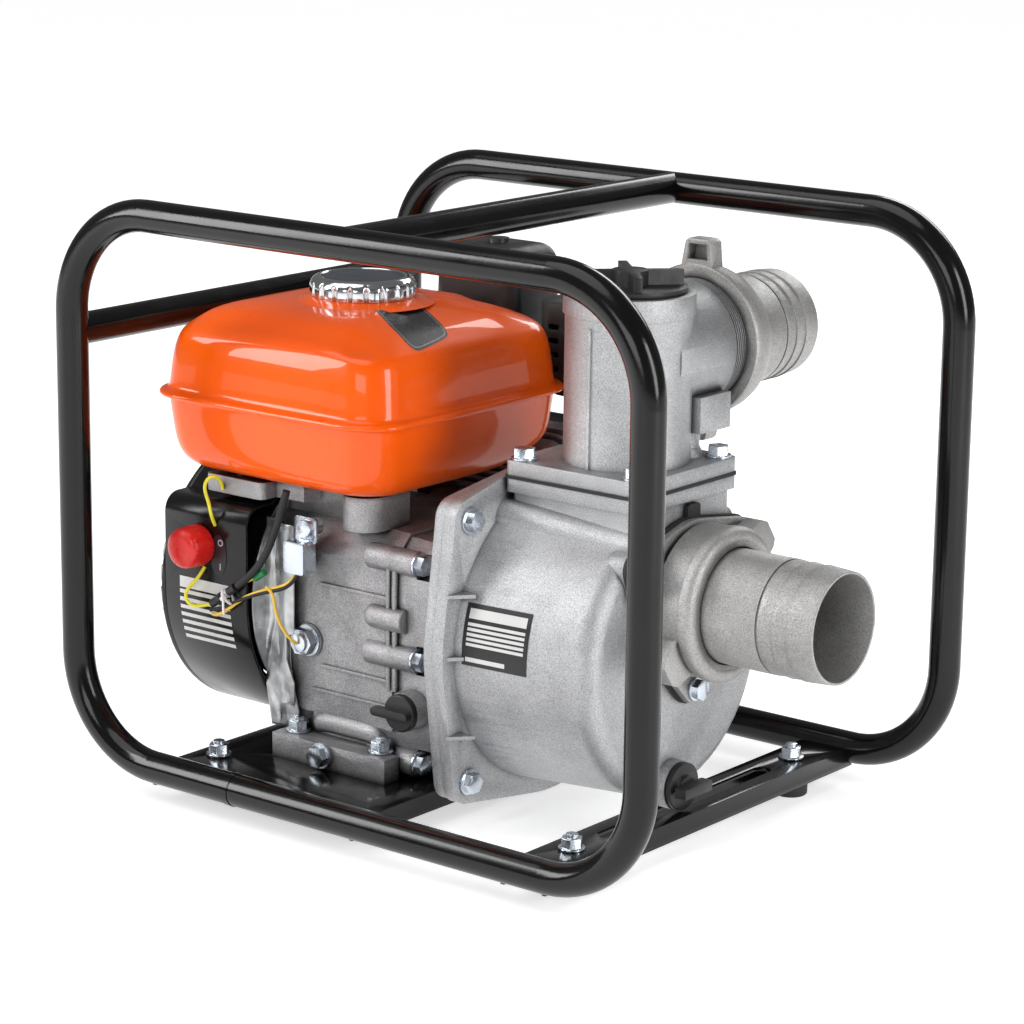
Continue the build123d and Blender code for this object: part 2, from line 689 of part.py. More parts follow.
GRIP = Plane(origin=(CX - 237.5, 72, 208), x_dir=(0, 1, 0), z_dir=(-0.8, 0, 0.6))
with BuildPart() as starter_handle:
    with BuildSketch(GRIP):
        RectangleRounded(54, 13, 6)
    extrude(amount=11)
    fillet(starter_handle.faces().sort_by(Axis((0, 0, 0), (-0.8, 0, 0.6)))[-1].edges(), 3)
    with BuildSketch(GRIP.offset(-3)):
        with Locations((-2, 0)):
            Circle(5)
    extrude(amount=4)
    with BuildSketch(GRIP.offset(-3)):
        with Locations((-2, 0)):
            Circle(2.2)
    extrude(amount=10, mode=Mode.SUBTRACT)

# galvanised side plate between fan cover and crankcase
with BuildPart() as shroud_plate:
    with BuildSketch(YZp(COVER_X1)):
        with Locations((CRANK_Y, CRANK_Z)):
            Circle(95)
            Circle(40, mode=Mode.SUBTRACT)
        with Locations((0, 233)):
            Rectangle(300, 62, mode=Mode.SUBTRACT)
        with Locations((0, 10)):
            Rectangle(300, 60, mode=Mode.SUBTRACT)
    extrude(amount=1.5)
    # near wing, wrapped forward against the crankcase
    with BuildSketch(XYp(60)):
        with BuildLine():
            Polyline((COVER_X1, -84), (COVER_X1 + 1.5, -84), (-127, -91.5), (-117, -91.5),
                     (-117, -90), (-127.5, -90), (COVER_X1, -82), close=True)
        make_face()
    extrude(amount=128)
    with BuildSketch(XZp(-70)):
        with BuildLine():
            Polyline((-124, 110), (-110, 110), (-110, 60), (-124, 92), close=True)
        make_face()
    extrude(amount=40, mode=Mode.SUBTRACT)

with BuildPart() as switch_knob:
    with BuildSketch(XZp(-109.5)):
        with Locations((-188, 167)):
            Circle(14.5)
    extrude(amount=9)
    fillet(switch_knob.faces().sort_by(Axis.Y)[0].edges(), 3)
    with BuildSketch(XZp(-111)):
        with BuildLine():
            Polyline((-200, 171), (-206.5, 170), (-206.5, 164), (-200, 163), close=True)
        make_face()
    extrude(amount=6)
    with BuildSketch(XZp(-109.5)):
        with Locations((-188, 167)):
            Circle(5.3)
    extrude(amount=-16)

with BuildPart() as oil_alert_unit:
    with BuildSketch(XZp(-92)):
        with Locations((-105, 170)):
            RectangleRounded(18, 22, 2)
    extrude(amount=13)
    with BuildSketch(XZp(-92)):
        with Locations((-104, 188)):
            RectangleRounded(20, 18, 3)
    extrude(amount=1.8)
    with BuildSketch(XZp(-85)):
        with Locations((-101, 190)):
            Circle(6)
    extrude(amount=7)
    with BuildSketch(XZp(-93.8)):
        with Locations((-101, 190)):
            RegularPolygon(6.2, 6)
    extrude(amount=5)
    # level switch screwed into the crankcase
    with BuildSketch(XZp(-86.6)):
        with Locations((-108, 108)):
            Circle(11)
    extrude(amount=1.5)
    with BuildSketch(XZp(-88.1)):
        with Locations((-108, 108)):
            RegularPolygon(9.8, 6)
    extrude(amount=7)
    with BuildSketch(XZp(-95.1)):
        with Locations((-108, 108)):
            Circle(6.5)
    extrude(amount=2.5)
    with BuildSketch(XZp(-86.6)):
        with Locations((-108, 108)):
            Circle(5)
    extrude(amount=-10)

# engine wiring: kill lead, sensor leads, harness sleeve and ignition lead
def lead(points, t0, t1, r):
    with BuildPart() as run:
        with BuildLine() as path:
            Spline(*[(CX + x, y, z) for x, y, z in points], tangents=[t0, t1])
        with BuildSketch(Plane(origin=path.line @ 0, z_dir=path.line % 0)):
            Circle(r)
        sweep(path=path.line)
    return run.part


LEADS = [
    lead([(-174, -100.8, 207), (-171, -108, 216), (-173.5, -113.5, 216.5), (-175, -115, 207),
          (-172.5, -114.5, 195), (-173.5, -109.4, 184)], (0, -1, 0.4), (0, 1, -0.2), 1.2),
    lead([(-183.8, -109.4, 150.5), (-184.8, -114, 143), (-194, -116, 134.5), (-193.5, -116, 126.5),
          (-183, -117, 125.5), (-170, -116, 129.2)], (0, -1, -0.2), (0.8, 0.05, 0.55), 1.2),
    lead([(-170, -115.2, 121.5), (-159, -115, 126.5), (-144.5, -113.6, 136.5), (-131, -109, 144.5),
          (-118, -104, 151), (-107, -98.5, 158.9)], (0.85, 0, 0.3), (0.1, 0, 1), 1.2),
    lead([(-123.5, -110, 142), (-120.5, -107.5, 136), (-116, -105.5, 122), (-111, -103, 112),
          (-108, -97.7, 108)], (0.3, 0, -1), (0, 1, 0), 1.1),
    lead([(-118, -97, 213.5), (-122, -98.5, 199), (-128, -102, 175), (-134, -109, 159),
          (-148.4, -114.4, 144.9)], (0, 0, -1), (-0.8, 0, -0.55), 2.6),
    lead([(-130.2, 168.6, 212.9), (-148, 168, 207), (-172, 159, 193), (-187, 132, 182),
          (-187, 105.4, 180)], (-1, 0, 0), (0, -1, 0), 3.0),
]
BUNDLE = Plane(origin=(CX - 170.7, -116.0, 128.7), z_dir=(21, 1.2, 15.1))
TIE = Plane(origin=(CX - 156.5, -115.2, 138.9), z_dir=(21, 1.2, 15.1))
PLUG = Plane(origin=(CX - 139.5, -105.5, 150.5), z_dir=(10, 0, 6.5))
with BuildPart() as engine_leads:
    add(LEADS)
    # connectors and the cable tie
    with BuildSketch(BUNDLE):
        Circle(3.2)
    extrude(amount=26.1)
    with BuildSketch(TIE):
        Circle(4.6)
    extrude(amount=2.5)
    with BuildSketch(PLUG):
        Circle(2.6)
    extrude(amount=11)

# ------------------------------------------------------------ fuel system --
TANK_STUDS = [(-168.0, -91.0), (-66.0, -79.0)]
with BuildPart() as tank_bracket:
    with BuildSketch(XYp(192)):
        with Locations((-97, -56)):
            Rectangle(92, 20)
        with Locations((-66, -74)):
            Circle(16)
        with Locations((-66, -64)):
            Rectangle(32, 20)
    extrude(amount=TANK_Z0 - 192)
    with BuildSketch(XYp(204)):
        with Locations((-165, -86)):
            RectangleRounded(54, 28, 6)
        with Locations((-128, -74)):
            Rectangle(30, 22)
    extrude(amount=TANK_Z0 - 204)
    with BuildSketch(XYp(192)):
        with Locations(*TANK_STUDS):
            Circle(3.4)
    extrude(amount=24, mode=Mode.SUBTRACT)
    # keep clear of the fan cover
    with BuildSketch(YZp(-230)):
        with Locations((CRANK_Y, CRANK_Z)):
            Circle(COVER_R + 0.6)
    extrude(amount=86, mode=Mode.SUBTRACT)

tank_mx, tank_my = (TANK_X0 + TANK_X1) / 2, (TANK_Y0 + TANK_Y1) / 2
tank_lx, tank_ly = TANK_X1 - TANK_X0, TANK_Y1 - TANK_Y0
with BuildPart() as fuel_tank:
    # pressed lower and upper shells
    with BuildSketch(XYp(SEAM_Z)):
        with Locations((tank_mx, tank_my)):
            RectangleRounded(tank_lx - 12, tank_ly - 12, 26)
    extrude(amount=TANK_Z0 - SEAM_Z, taper=5)
    with BuildSketch(XYp(SEAM_Z)):
        with Locations((tank_mx, tank_my)):
            RectangleRounded(tank_lx - 12, tank_ly - 12, 26)
    extrude(amount=TANK_Z1 - SEAM_Z, taper=8)
    fillet(fuel_tank.faces().sort_by(Axis.Z)[-1].edges(), 18)
    fillet(fuel_tank.faces().sort_by(Axis.Z)[0].edges(), 16)
    with BuildSketch(YZp(TANK_X0)):
        with BuildLine():
            Polyline((34, 205), (34, TANK_Z0), (118, 255.3), (118, 205), close=True)
        make_face()
    extrude(amount=tank_lx, mode=Mode.SUBTRACT)
    with BuildSketch(XYp(TANK_Z1 - 8)):
        with Locations((CAP_X, CAP_Y)):
            Circle(27)
    extrude(amount=12)
    tank_solid = fuel_tank.part
with BuildPart() as fuel_tank_inner:
    with BuildSketch(XYp(SEAM_Z)):
        with Locations((tank_mx, tank_my)):
            RectangleRounded(tank_lx - 15, tank_ly - 15, 24.5)
    extrude(amount=TANK_Z0 + 1.5 - SEAM_Z, taper=5)
    with BuildSketch(XYp(SEAM_Z)):
        with Locations((tank_mx, tank_my)):
            RectangleRounded(tank_lx - 15, tank_ly - 15, 24.5)
    extrude(amount=TANK_Z1 - 1.5 - SEAM_Z, taper=8)
    fillet(fuel_tank_inner.faces().sort_by(Axis.Z)[-1].edges(), 16.5)
    fillet(fuel_tank_inner.faces().sort_by(Axis.Z)[0].edges(), 14.5)
    with BuildSketch(YZp(TANK_X0)):
        with BuildLine():
            Polyline((33, 205), (33, TANK_Z0 + 1.6), (118, 257.3), (118, 205), close=True)
        make_face()
    extrude(amount=tank_lx, mode=Mode.SUBTRACT)
with BuildPart() as fuel_tank_shell:
    add(fuel_tank.part)
    add(fuel_tank_inner.part, mode=Mode.SUBTRACT)
    # seam flange
    with BuildSketch(XYp(SEAM_Z - 1.5)):
        with Locations((tank_mx, tank_my)):
            RectangleRounded(tank_lx, tank_ly, 31)
            RectangleRounded(tank_lx - 13, tank_ly - 13, 25.5, mode=Mode.SUBTRACT)
    extrude(amount=3)
    # filler neck, its hole and the two mounting studs
    with BuildSketch(XYp(TANK_Z1 - 4)):
        with Locations((CAP_X, CAP_Y)):
            Circle(26)
    extrude(amount=8)
    with BuildSketch(XYp(TANK_Z1 - 12)):
        with Locations((CAP_X, CAP_Y)):
            Circle(24)
    extrude(amount=20, mode=Mode.SUBTRACT)
    with BuildSketch(XYp(TANK_Z0 + 1.2)):
        with Locations(TANK_STUDS[0]):
            Circle(3)
    extrude(amount=-18.2)
    with BuildSketch(XYp(TANK_Z0 + 1.2)):
        with Locations(TANK_STUDS[1]):
            Circle(3)
    extrude(amount=-25.2)
    # nuts on the studs, below the bracket
    with BuildSketch(XYp(204)):
        with Locations(TANK_STUDS[0]):
            RegularPolygon(5.8, 6)
    extrude(amount=-5)
    with BuildSketch(XYp(192)):
        with Locations(TANK_STUDS[1]):
            RegularPolygon(5.8, 6)
    extrude(amount=-4.5)

with BuildPart() as fuel_cap_seal:
    with BuildSketch(XYp(TANK_Z1 + 4.02)):
        with Locations((CAP_X, CAP_Y)):
            Circle(27)
            Circle(21, mode=Mode.SUBTRACT)
    extrude(amount=2.26)

with BuildPart() as fuel_cap:
    with BuildSketch(XYp(TANK_Z1 + 1)):
        with Locations((CAP_X, CAP_Y)):
            Circle(CAP_R - 1)
            with PolarLocations(CAP_R - 1.3, 24):
                Circle(2.6)
            Circle(27.6, mode=Mode.SUBTRACT)
    extrude(amount=CAP_TOP - TANK_Z1 - 3)
    with BuildSketch(XYp(TANK_Z1 + 6.3)):
        with Locations((CAP_X, CAP_Y)):
            Circle(CAP_R - 3)
    extrude(amount=CAP_TOP - TANK_Z1 - 6.3)

with BuildPart() as fuel_hose:
    with BuildLine() as path:
        Spline((CX - 138, 63.02, 229.5), (CX - 138, 68, 220), (CX - 138, 84, 206), (CX - 138, 106.8, 194),
               tangents=[(0, 0.424, -0.906), (0, 1, -0.2)])
    with BuildSketch(Plane(origin=path.line @ 0, z_dir=path.line % 0)):
        Circle(4)
    sweep(path=path.line)

with BuildPart() as carburettor:
    with BuildSketch(YZp(CYL_X - 46)):
        with Locations(PORT):
            RectangleRounded(44, 44, 6)
            Circle(9, mode=Mode.SUBTRACT)
    extrude(amount=-6)
    with BuildSketch(YZp(CYL_X - 52)):
        with Locations(PORT):
            Circle(17)
            Circle(9, mode=Mode.SUBTRACT)
    extrude(amount=-30)
    # float bowl
    with BuildSketch(XYp(172)):
        with Locations((CYL_X - 67, PORT[0])):
            Circle(14.4)
    extrude(amount=12)
    with BuildSketch(XYp(203)):
        with Locations((CYL_X - 62, PORT[0])):
            RectangleRounded(24, 18, 3)
    extrude(amount=11)
    # pivots of the throttle and choke levers
    with BuildSketch(XYp(212)):
        with Locations((CYL_X - 59, PORT[0])):
            Circle(3)
    extrude(amount=14)
    with BuildSketch(XZp(136)):
        with Locations((CYL_X - 70, PORT[1] + 3)):
            Circle(2)
    extrude(amount=-17)
    with BuildSketch(YZp(CYL_X - 76)):
        with Locations(PORT):
            RectangleRounded(37, 40, 6)
            Circle(9, mode=Mode.SUBTRACT)
    extrude(amount=-6)

# plenum elbow with the filter element seated on it
with BuildPart() as air_cleaner_base:
    with BuildSketch(YZp(CYL_X - 82)):
        with Locations(PORT):
            RectangleRounded(37, 40, 6)
    extrude(amount=-14)
    with BuildSketch(YZp(CYL_X - 82)):
        with Locations((PORT[0], 222)):
            Rectangle(34, 60)
    extrude(amount=-14)
    with BuildSketch(XYp(262)):
        with Locations((-128, 143)):
            RectangleRounded(78, 66, 14)
    extrude(amount=8)
    with BuildSketch(XYp(240)):
        with Locations((CYL_X - 86, 126)):
            Rectangle(22, 38)
    extrude(amount=22)
    with BuildSketch(YZp(CYL_X - 82)):
        with Locations(PORT):
            Circle(9)
    extrude(amount=-10, mode=Mode.SUBTRACT)
    with BuildSketch(XYp(270)):
        with Locations((-128, 143)):
            RectangleRounded(58, 46, 8)
    extrude(amount=60)

with BuildPart() as air_cleaner_cover:
    with BuildSketch(XYp(270)):
        with Locations((-128, 143)):
            RectangleRounded(78, 66, 14)
    extrude(amount=86, taper=2)
    fillet(air_cleaner_cover.faces().sort_by(Axis.Z)[-1].edges(), 14)
    with BuildSketch(XYp(270)):
        with Locations((-128, 143)):
            RectangleRounded(73, 61, 12)
    extrude(amount=80, taper=2, mode=Mode.SUBTRACT)
    with BuildSketch(XYp(352)):
        with Locations((-128, 143)):
            Circle(8)
    extrude(amount=7)

with BuildPart() as muffler:
    with BuildSketch(XYp(256)):
        with Locations((-22, 146)):
            RectangleRounded(84, 56, 16)
    extrude(amount=62)
    fillet(muffler.faces().sort_by(Axis.Z)[-1].edges(), 12)
    with BuildSketch(XYp(258)):
        with Locations((-22, 146)):
            RectangleRounded(81, 53, 15)
    extrude(amount=50, mode=Mode.SUBTRACT)
    # inlet elbow from the head
    with BuildSketch(YZp(CYL_X + 46)):
        with Locations(PORT):
            Circle(15)
            Circle(11, mode=Mode.SUBTRACT)
    extrude(amount=8)
    with BuildSketch(YZp(CYL_X + 54)):
        with Locations(PORT):
            RectangleRounded(30, 30, 8)
        with Locations((128, 227)):
            Rectangle(24, 58)
    extrude(amount=14)
    with BuildSketch(XZp(174)):
        with Locations((2, 290)):
            Circle(9)
            Circle(7, mode=Mode.SUBTRACT)
    extrude(amount=-8)
    with BuildSketch(XZp(176)):
        with Locations((2, 290)):
            Circle(7)
    extrude(amount=6, mode=Mode.SUBTRACT)

with BuildPart() as muffler_guard:
    with BuildSketch(XYp(262)):
        with Locations((-22, 145)):
            RectangleRounded(98, 72, 20)
            RectangleRounded(95, 69, 18.5, mode=Mode.SUBTRACT)
    extrude(amount=60)
    with BuildSketch(XYp(322)):
        with Locations((-22, 145)):
            RectangleRounded(98, 72, 20)
            with GridLocations(12, 12, 6, 4):
                Circle(3.4, mode=Mode.SUBTRACT)
    extrude(amount=1.5)
    with BuildSketch(XZp(190)):
        with Locations((-22, 292)):
            with GridLocations(14, 10, 5, 4):
                SlotOverall(10, 4)
    extrude(amount=100, mode=Mode.SUBTRACT)
    with BuildSketch(YZp(-80)):
        with Locations((145, 292)):
            with GridLocations(14, 10, 3, 4):
                SlotOverall(10, 4)
    extrude(amount=120, mode=Mode.SUBTRACT)
    with BuildSketch(XZp(170)):
        with Locations((2, 290)):
            Circle(10.5)
    extrude(amount=-20, mode=Mode.SUBTRACT)
    # feet onto the muffler
    with BuildSketch(XYp(318)):
        with Locations((-48, 146), (4, 146)):
            Circle(5)
    extrude(amount=4)

# choke lever on its cross pivot, throttle lever on the upright one
with BuildPart() as choke_lever:
    with BuildSketch(XZp(150)):
        with Locations((CYL_X - 70, PORT[1] + 3)):
            Circle(6)
            Circle(2 + RUN, mode=Mode.SUBTRACT)
        with Locations((CYL_X - 86, PORT[1] + 7)):
            Rectangle(24, 6, rotation=-14)
    extrude(amount=3)
    with BuildSketch(XZp(150)):
        with Locations((CYL_X - 98, PORT[1] + 10)):
            Circle(5)
    extrude(amount=6)

with BuildPart() as throttle_lever:
    with BuildSketch(XYp(220)):
        with Locations((CYL_X - 59, PORT[0])):
            Circle(8)
        with Locations((CYL_X - 59, PORT[0] + 26)):
            Rectangle(7, 44)
    extrude(amount=3)
    with BuildSketch(XYp(218)):
        with Locations((CYL_X - 59, PORT[0] + 50)):
            RectangleRounded(9, 14, 3)
    extrude(amount=7)
    with BuildSketch(XYp(215)):
        with Locations((CYL_X - 59, PORT[0])):
            Circle(3 + RUN)
    extrude(amount=20, mode=Mode.SUBTRACT)

# ------------------------------------------------------------------ pump ---
FLANGE_BOLTS = [(CRANK_Y + a * PUMP_BOLT, CRANK_Z + b * PUMP_BOLT) for a in (-1, 1) for b in (-1, 1)]


with BuildPart() as pump_bracket:
    with BuildSketch(YZp(FLANGE_X0)):
        with Locations((CRANK_Y, CRANK_Z)):
            Circle(114)
        with Locations(*FLANGE_BOLTS):
            Circle(14)
        make_hull()
    extrude(amount=FLANGE_XM - FLANGE_X0)
    with BuildSketch(YZp(PTO_X)):
        with Locations((CRANK_Y, CRANK_Z)):
            Circle(58)
    extrude(amount=FLANGE_X0 - PTO_X, taper=-12)
    with BuildSketch(YZp(PTO_X)):
        with Locations((CRANK_Y, CRANK_Z)):
            Circle(20)
            with PolarLocations(46, 4, start_angle=45):
                Circle(4.3)
    extrude(amount=FLANGE_XM - PTO_X, mode=Mode.SUBTRACT)
    with BuildSketch(YZp(FLANGE_X0)):
        with Locations(*FLANGE_BOLTS):
            Circle(4.3)
    extrude(amount=10, mode=Mode.SUBTRACT)
    # counterbores for the engine screws
    with BuildSketch(YZp(FLANGE_XM)):
        with Locations((CRANK_Y, CRANK_Z)):
            with PolarLocations(46, 4, start_angle=45):
                Circle(9)
    extrude(amount=-11, mode=Mode.SUBTRACT)

with BuildPart() as pump_casing:
    with BuildSketch(YZp(FLANGE_XM)):
        with Locations((CRANK_Y, CRANK_Z)):
            Circle(116)
        with Locations(*FLANGE_BOLTS):
            Circle(15)
        with Locations((NECK_Y, 236)):
            Rectangle(2 * NECK_H, 12)
        make_hull()
    extrude(amount=FLANGE_X1 - FLANGE_XM)
    with BuildSketch(XYp(NECK_Z)):
        with Locations((FLANGE_X1, 0)):
            Rectangle(60, 300)
    extrude(amount=20, mode=Mode.SUBTRACT)
    # drum with a rounded front edge, and the square shoulder above it
    with BuildSketch(XZp(CRANK_Y)):
        with BuildLine():
            Polyline((FLANGE_X1, CRANK_Z), (FLANGE_X1, CRANK_Z + 104), (DRUM_X1 - 14, CRANK_Z + 98))
            RadiusArc((DRUM_X1 - 14, CRANK_Z + 98), (DRUM_X1, CRANK_Z + 84), 14)
            Polyline((DRUM_X1, CRANK_Z + 84), (DRUM_X1, CRANK_Z), (FLANGE_X1, CRANK_Z))
        make_face()
    revolve(axis=CRANK, revolution_arc=360)
    with BuildSketch(YZp(FLANGE_X1)):
        with Locations((NECK_Y, 196)):
            RectangleRounded(126, 64, 12)
    with BuildSketch(YZp(DRUM_X1)):
        with Locations((NECK_Y, 192)):
            RectangleRounded(114, 58, 12)
    loft()
    with BuildSketch(XYp(180)):
        with Locations((NECK_X, NECK_Y)):
            RectangleRounded(2 * NECK_H - 6, 2 * NECK_H - 6, 6)
    extrude(amount=NECK_Z - 180)
    with BuildSketch(XYp(NECK_Z - 9)):
        with Locations((NECK_X, NECK_Y)):
            RectangleRounded(2 * NECK_H, 2 * NECK_H, 5)
    extrude(amount=9)
    # suction face and drain boss
    with BuildSketch(YZp(DRUM_X1 - 12)):
        with Locations((SUC_Y, SUC_Z)):
            Circle(52)
            with PolarLocations(63, 3, start_angle=33):
                Circle(10)
            make_hull()
    extrude(amount=14)
    with BuildSketch(YZp(128)):
        with Locations((-18, 43)):
            Circle(16.5)
    extrude(amount=30)
    # water chamber
    with BuildSketch(YZp(FLANGE_XM)):
        with Locations((CRANK_Y, CRANK_Z)):
            Circle(90)
    extrude(amount=DRUM_X1 - 8 - FLANGE_XM, mode=Mode.SUBTRACT)
    with BuildSketch(YZp(FLANGE_X1 + 6)):
        with Locations((NECK_Y, 194)):
            RectangleRounded(104, 50, 8)
    extrude(amount=DRUM_X1 - 16 - FLANGE_X1, mode=Mode.SUBTRACT)
    with BuildSketch(XYp(180)):
        with Locations((NECK_X, NECK_Y)):
            RectangleRounded(80, 80, 20)
    extrude(amount=70, mode=Mode.SUBTRACT)
    with BuildSketch(YZp(DRUM_X1 - 20)):
        with Locations((SUC_Y, SUC_Z)):
            Circle(PORT_R)
    extrude(amount=30, mode=Mode.SUBTRACT)
    with BuildSketch(YZp(120)):
        with Locations((-18, 43)):
            Circle(10.5)
    extrude(amount=40, mode=Mode.SUBTRACT)
    # lugs and pivot pin of the check valve
    for y in (SUC_Y + 17, SUC_Y - 12):
        with BuildSketch(XZp(y)):
            with Locations((FLAP_X + 2.5, FLAP_Z + 1.25)):
                Rectangle(14, 7)
        extrude(amount=5)
    with BuildSketch(XZp(SUC_Y + 13)):
        with Locations((FLAP_X, FLAP_Z)):
            Circle(2)
    extrude(amount=26)
    # bolt holes
    with BuildSketch(YZp(FLANGE_XM)):
        with Locations(*FLANGE_BOLTS):
            Circle(4.3)
    extrude(amount=12, mode=Mode.SUBTRACT)
    with BuildSketch(YZp(DRUM_X1 + 2)):
        with Locations((SUC_Y, SUC_Z)):
            with PolarLocations(63, 3, start_angle=33):
                Circle(4.3)
    extrude(amount=-12, mode=Mode.SUBTRACT)
    with BuildSketch(XYp(NECK_Z)):
        with Locations((NECK_X, NECK_Y)):
            with GridLocations(91, 91, 2, 2):
                Circle(4.3)
    extrude(amount=-9, mode=Mode.SUBTRACT)
    # room for the flange screw heads
    with BuildSketch(YZp(FLANGE_X1)):
        with Locations(*FLANGE_BOLTS):
            Circle(10.5)
    extrude(amount=22, mode=Mode.SUBTRACT)
    # short webs at the flange
    for z in (172, 130, 76):
        with BuildSketch(XYp(z - 1.2)):
            with BuildLine():
                Polyline((FLANGE_X1, -121), (FLANGE_X1 + 13, -107), (FLANGE_X1, -104), close=True)
            make_face()
        extrude(amount=2.4)

SUC_HUB = 2.0                                # raised suction face
S0 = DRUM_X1 + SUC_HUB
with BuildPart() as flange_gaskets:
    with BuildSketch(YZp(S0)):
        with Locations((SUC_Y, SUC_Z)):
            Circle(53)
            with PolarLocations(63, 3, start_angle=33):
                Circle(11)
            make_hull()
        with Locations((SUC_Y + 6, SUC_Z + 55)):
            RectangleRounded(14, 12, 3)
        with Locations((SUC_Y, SUC_Z)):
            Circle(PORT_R + 3, mode=Mode.SUBTRACT)
            with PolarLocations(63, 3, start_angle=33):
                Circle(4.3, mode=Mode.SUBTRACT)
    extrude(amount=3)
    with BuildSketch(XYp(NECK_Z)):
        with Locations((NECK_X, NECK_Y)):
            RectangleRounded(2 * NECK_H + 1.5, 2 * NECK_H + 1.5, 5)
            RectangleRounded(80, 80, 20, mode=Mode.SUBTRACT)
            with GridLocations(91, 91, 2, 2):
                Circle(4.3, mode=Mode.SUBTRACT)
    extrude(amount=2)

S1 = S0 + 3
with BuildPart() as suction_flange:
    with BuildSketch(YZp(S1)):
        with Locations((SUC_Y, SUC_Z)):
            Circle(52)
            with PolarLocations(63, 3, start_angle=33):
                Circle(10)
            make_hull()
    extrude(amount=6)
    with BuildSketch(YZp(S1)):
        with Locations((SUC_Y, SUC_Z)):
            Circle(NECK_R)
    extrude(amount=24)
    with BuildSketch(YZp(S1)):
        with Locations((SUC_Y, SUC_Z)):
            Circle(PORT_R)
            with PolarLocations(63, 3, start_angle=33):
                Circle(4.3)
    extrude(amount=30, mode=Mode.SUBTRACT)
    # first turns of the thread
    for x in (S1 + 7.2, S1 + 9.4):
        with BuildSketch(YZp(x)):
            with Locations((SUC_Y, SUC_Z)):
                Circle(NECK_R + 2)
                Circle(NECK_R - 1, mode=Mode.SUBTRACT)
        extrude(amount=1.1, mode=Mode.SUBTRACT)

# hinged rubber non-return flap on its pin, inside the suction port
with BuildPart() as check_valve_flap:
    with BuildSketch(YZp(FLAP_X - 2.5)):
        with Locations((SUC_Y, SUC_Z)):
            Circle(36.5)
        with Locations((SUC_Y, FLAP_Z - 8)):
            Rectangle(20, 14)
    extrude(amount=5)
    with BuildSketch(XZp(SUC_Y + 10)):
        with Locations((FLAP_X, FLAP_Z)):
            Circle(4.5)
    extrude(amount=20)
    with BuildSketch(XZp(SUC_Y + 10)):
        with Locations((FLAP_X, FLAP_Z)):
            Circle(2 + RUN)
    extrude(amount=20, mode=Mode.SUBTRACT)
    with BuildSketch(YZp(FLAP_X - 5.5)):
        with Locations((SUC_Y, SUC_Z)):
            Circle(22)
    extrude(amount=3)

S2 = S1 + 24                                 # end of the suction thread
BARB = 1.0                                   # depth of a barb's shoulder


def hose_tail(start, barbs, end, z):
    """Half section of a hose tail along its axis, from the nut collar to the rim."""
    pts = [(start, z + TAIL_BORE), (start, z + NECK_R - 0.2), (start + 5, z + NECK_R - 0.2),
           (start + 5, z + TAIL_R), (barbs[0] - 1.5, z + TAIL_R), (barbs[0] - 1.5, z + TAIL_R - BARB)]
    pts.append((barbs[0], z + TAIL_R - BARB))
    for n, b in enumerate(barbs):
        stop = barbs[n + 1] if n + 1 < len(barbs) else end - 3
        pts += [(b, z + TAIL_R), (stop, z + TAIL_R - BARB)]
    return pts + [(end, z + TAIL_R - BARB - 0.3), (end, z + TAIL_BORE)]


with BuildPart() as suction_hose_tail:
    with BuildSketch(XZp(SUC_Y)):
        with BuildLine():
            Polyline(*hose_tail(S2, (236, 247, 258), SUCTION_END, SUC_Z), close=True)
        make_face()
    revolve(axis=Axis((CX, SUC_Y, SUC_Z), (1, 0, 0)), revolution_arc=360)

# union nuts: a barrel with a rounded bead, and two ears
with BuildPart() as suction_nut:
    with BuildSketch(XZp(SUC_Y)):
        with BuildLine():
            Polyline((S2 + 14, SUC_Z + 42), (S2 + 14, SUC_Z + TAIL_R + 1), (S2 + 5.5, SUC_Z + TAIL_R + 1),
                     (S2 + 5.5, SUC_Z + NECK_R + THREAD_GAP), (S1 + 10, SUC_Z + NECK_R + THREAD_GAP),
                     (S1 + 10, SUC_Z + 50.5), (S2 + 4, SUC_Z + 50.5), (S2 + 5, SUC_Z + 51.5),
                     (S2 + 9, SUC_Z + 51.5))
            ThreePointArc((S2 + 9, SUC_Z + 51.5), (S2 + 14.5, SUC_Z + 47.5), (S2 + 14, SUC_Z + 42))
        make_face()
    revolve(axis=Axis((CX, SUC_Y, SUC_Z), (1, 0, 0)), revolution_arc=360)
    for a in (35, 215):
        with BuildSketch(YZp(S1 + 14)):
            with Locations((SUC_Y, SUC_Z)):
                with PolarLocations(0.001, 1, start_angle=a):
                    Polygon((46, -15), (64, -12.5), (68, -9), (68, 7), (64, 12.5), (46, 17), align=None)
            with Locations((SUC_Y, SUC_Z)):
                Circle(45.5, mode=Mode.SUBTRACT)
        extrude(amount=13)

# drain plug
with BuildPart() as pump_drain_plug:
    with BuildSketch(YZp(159.5)):
        with Locations((-18, 43)):
            Circle(16)
    extrude(amount=3.5)
    with BuildSketch(YZp(159.5)):
        with Locations((-18, 43)):
            Circle(10.2)
    extrude(amount=-17.5)
    with BuildSketch(YZp(163)):
        with Locations((-18, 43)):
            Circle(8)
    extrude(amount=3)
    with BuildSketch(YZp(166)):
        with Locations((-18, 43)):
            Rectangle(30, 7)
    extrude(amount=9)

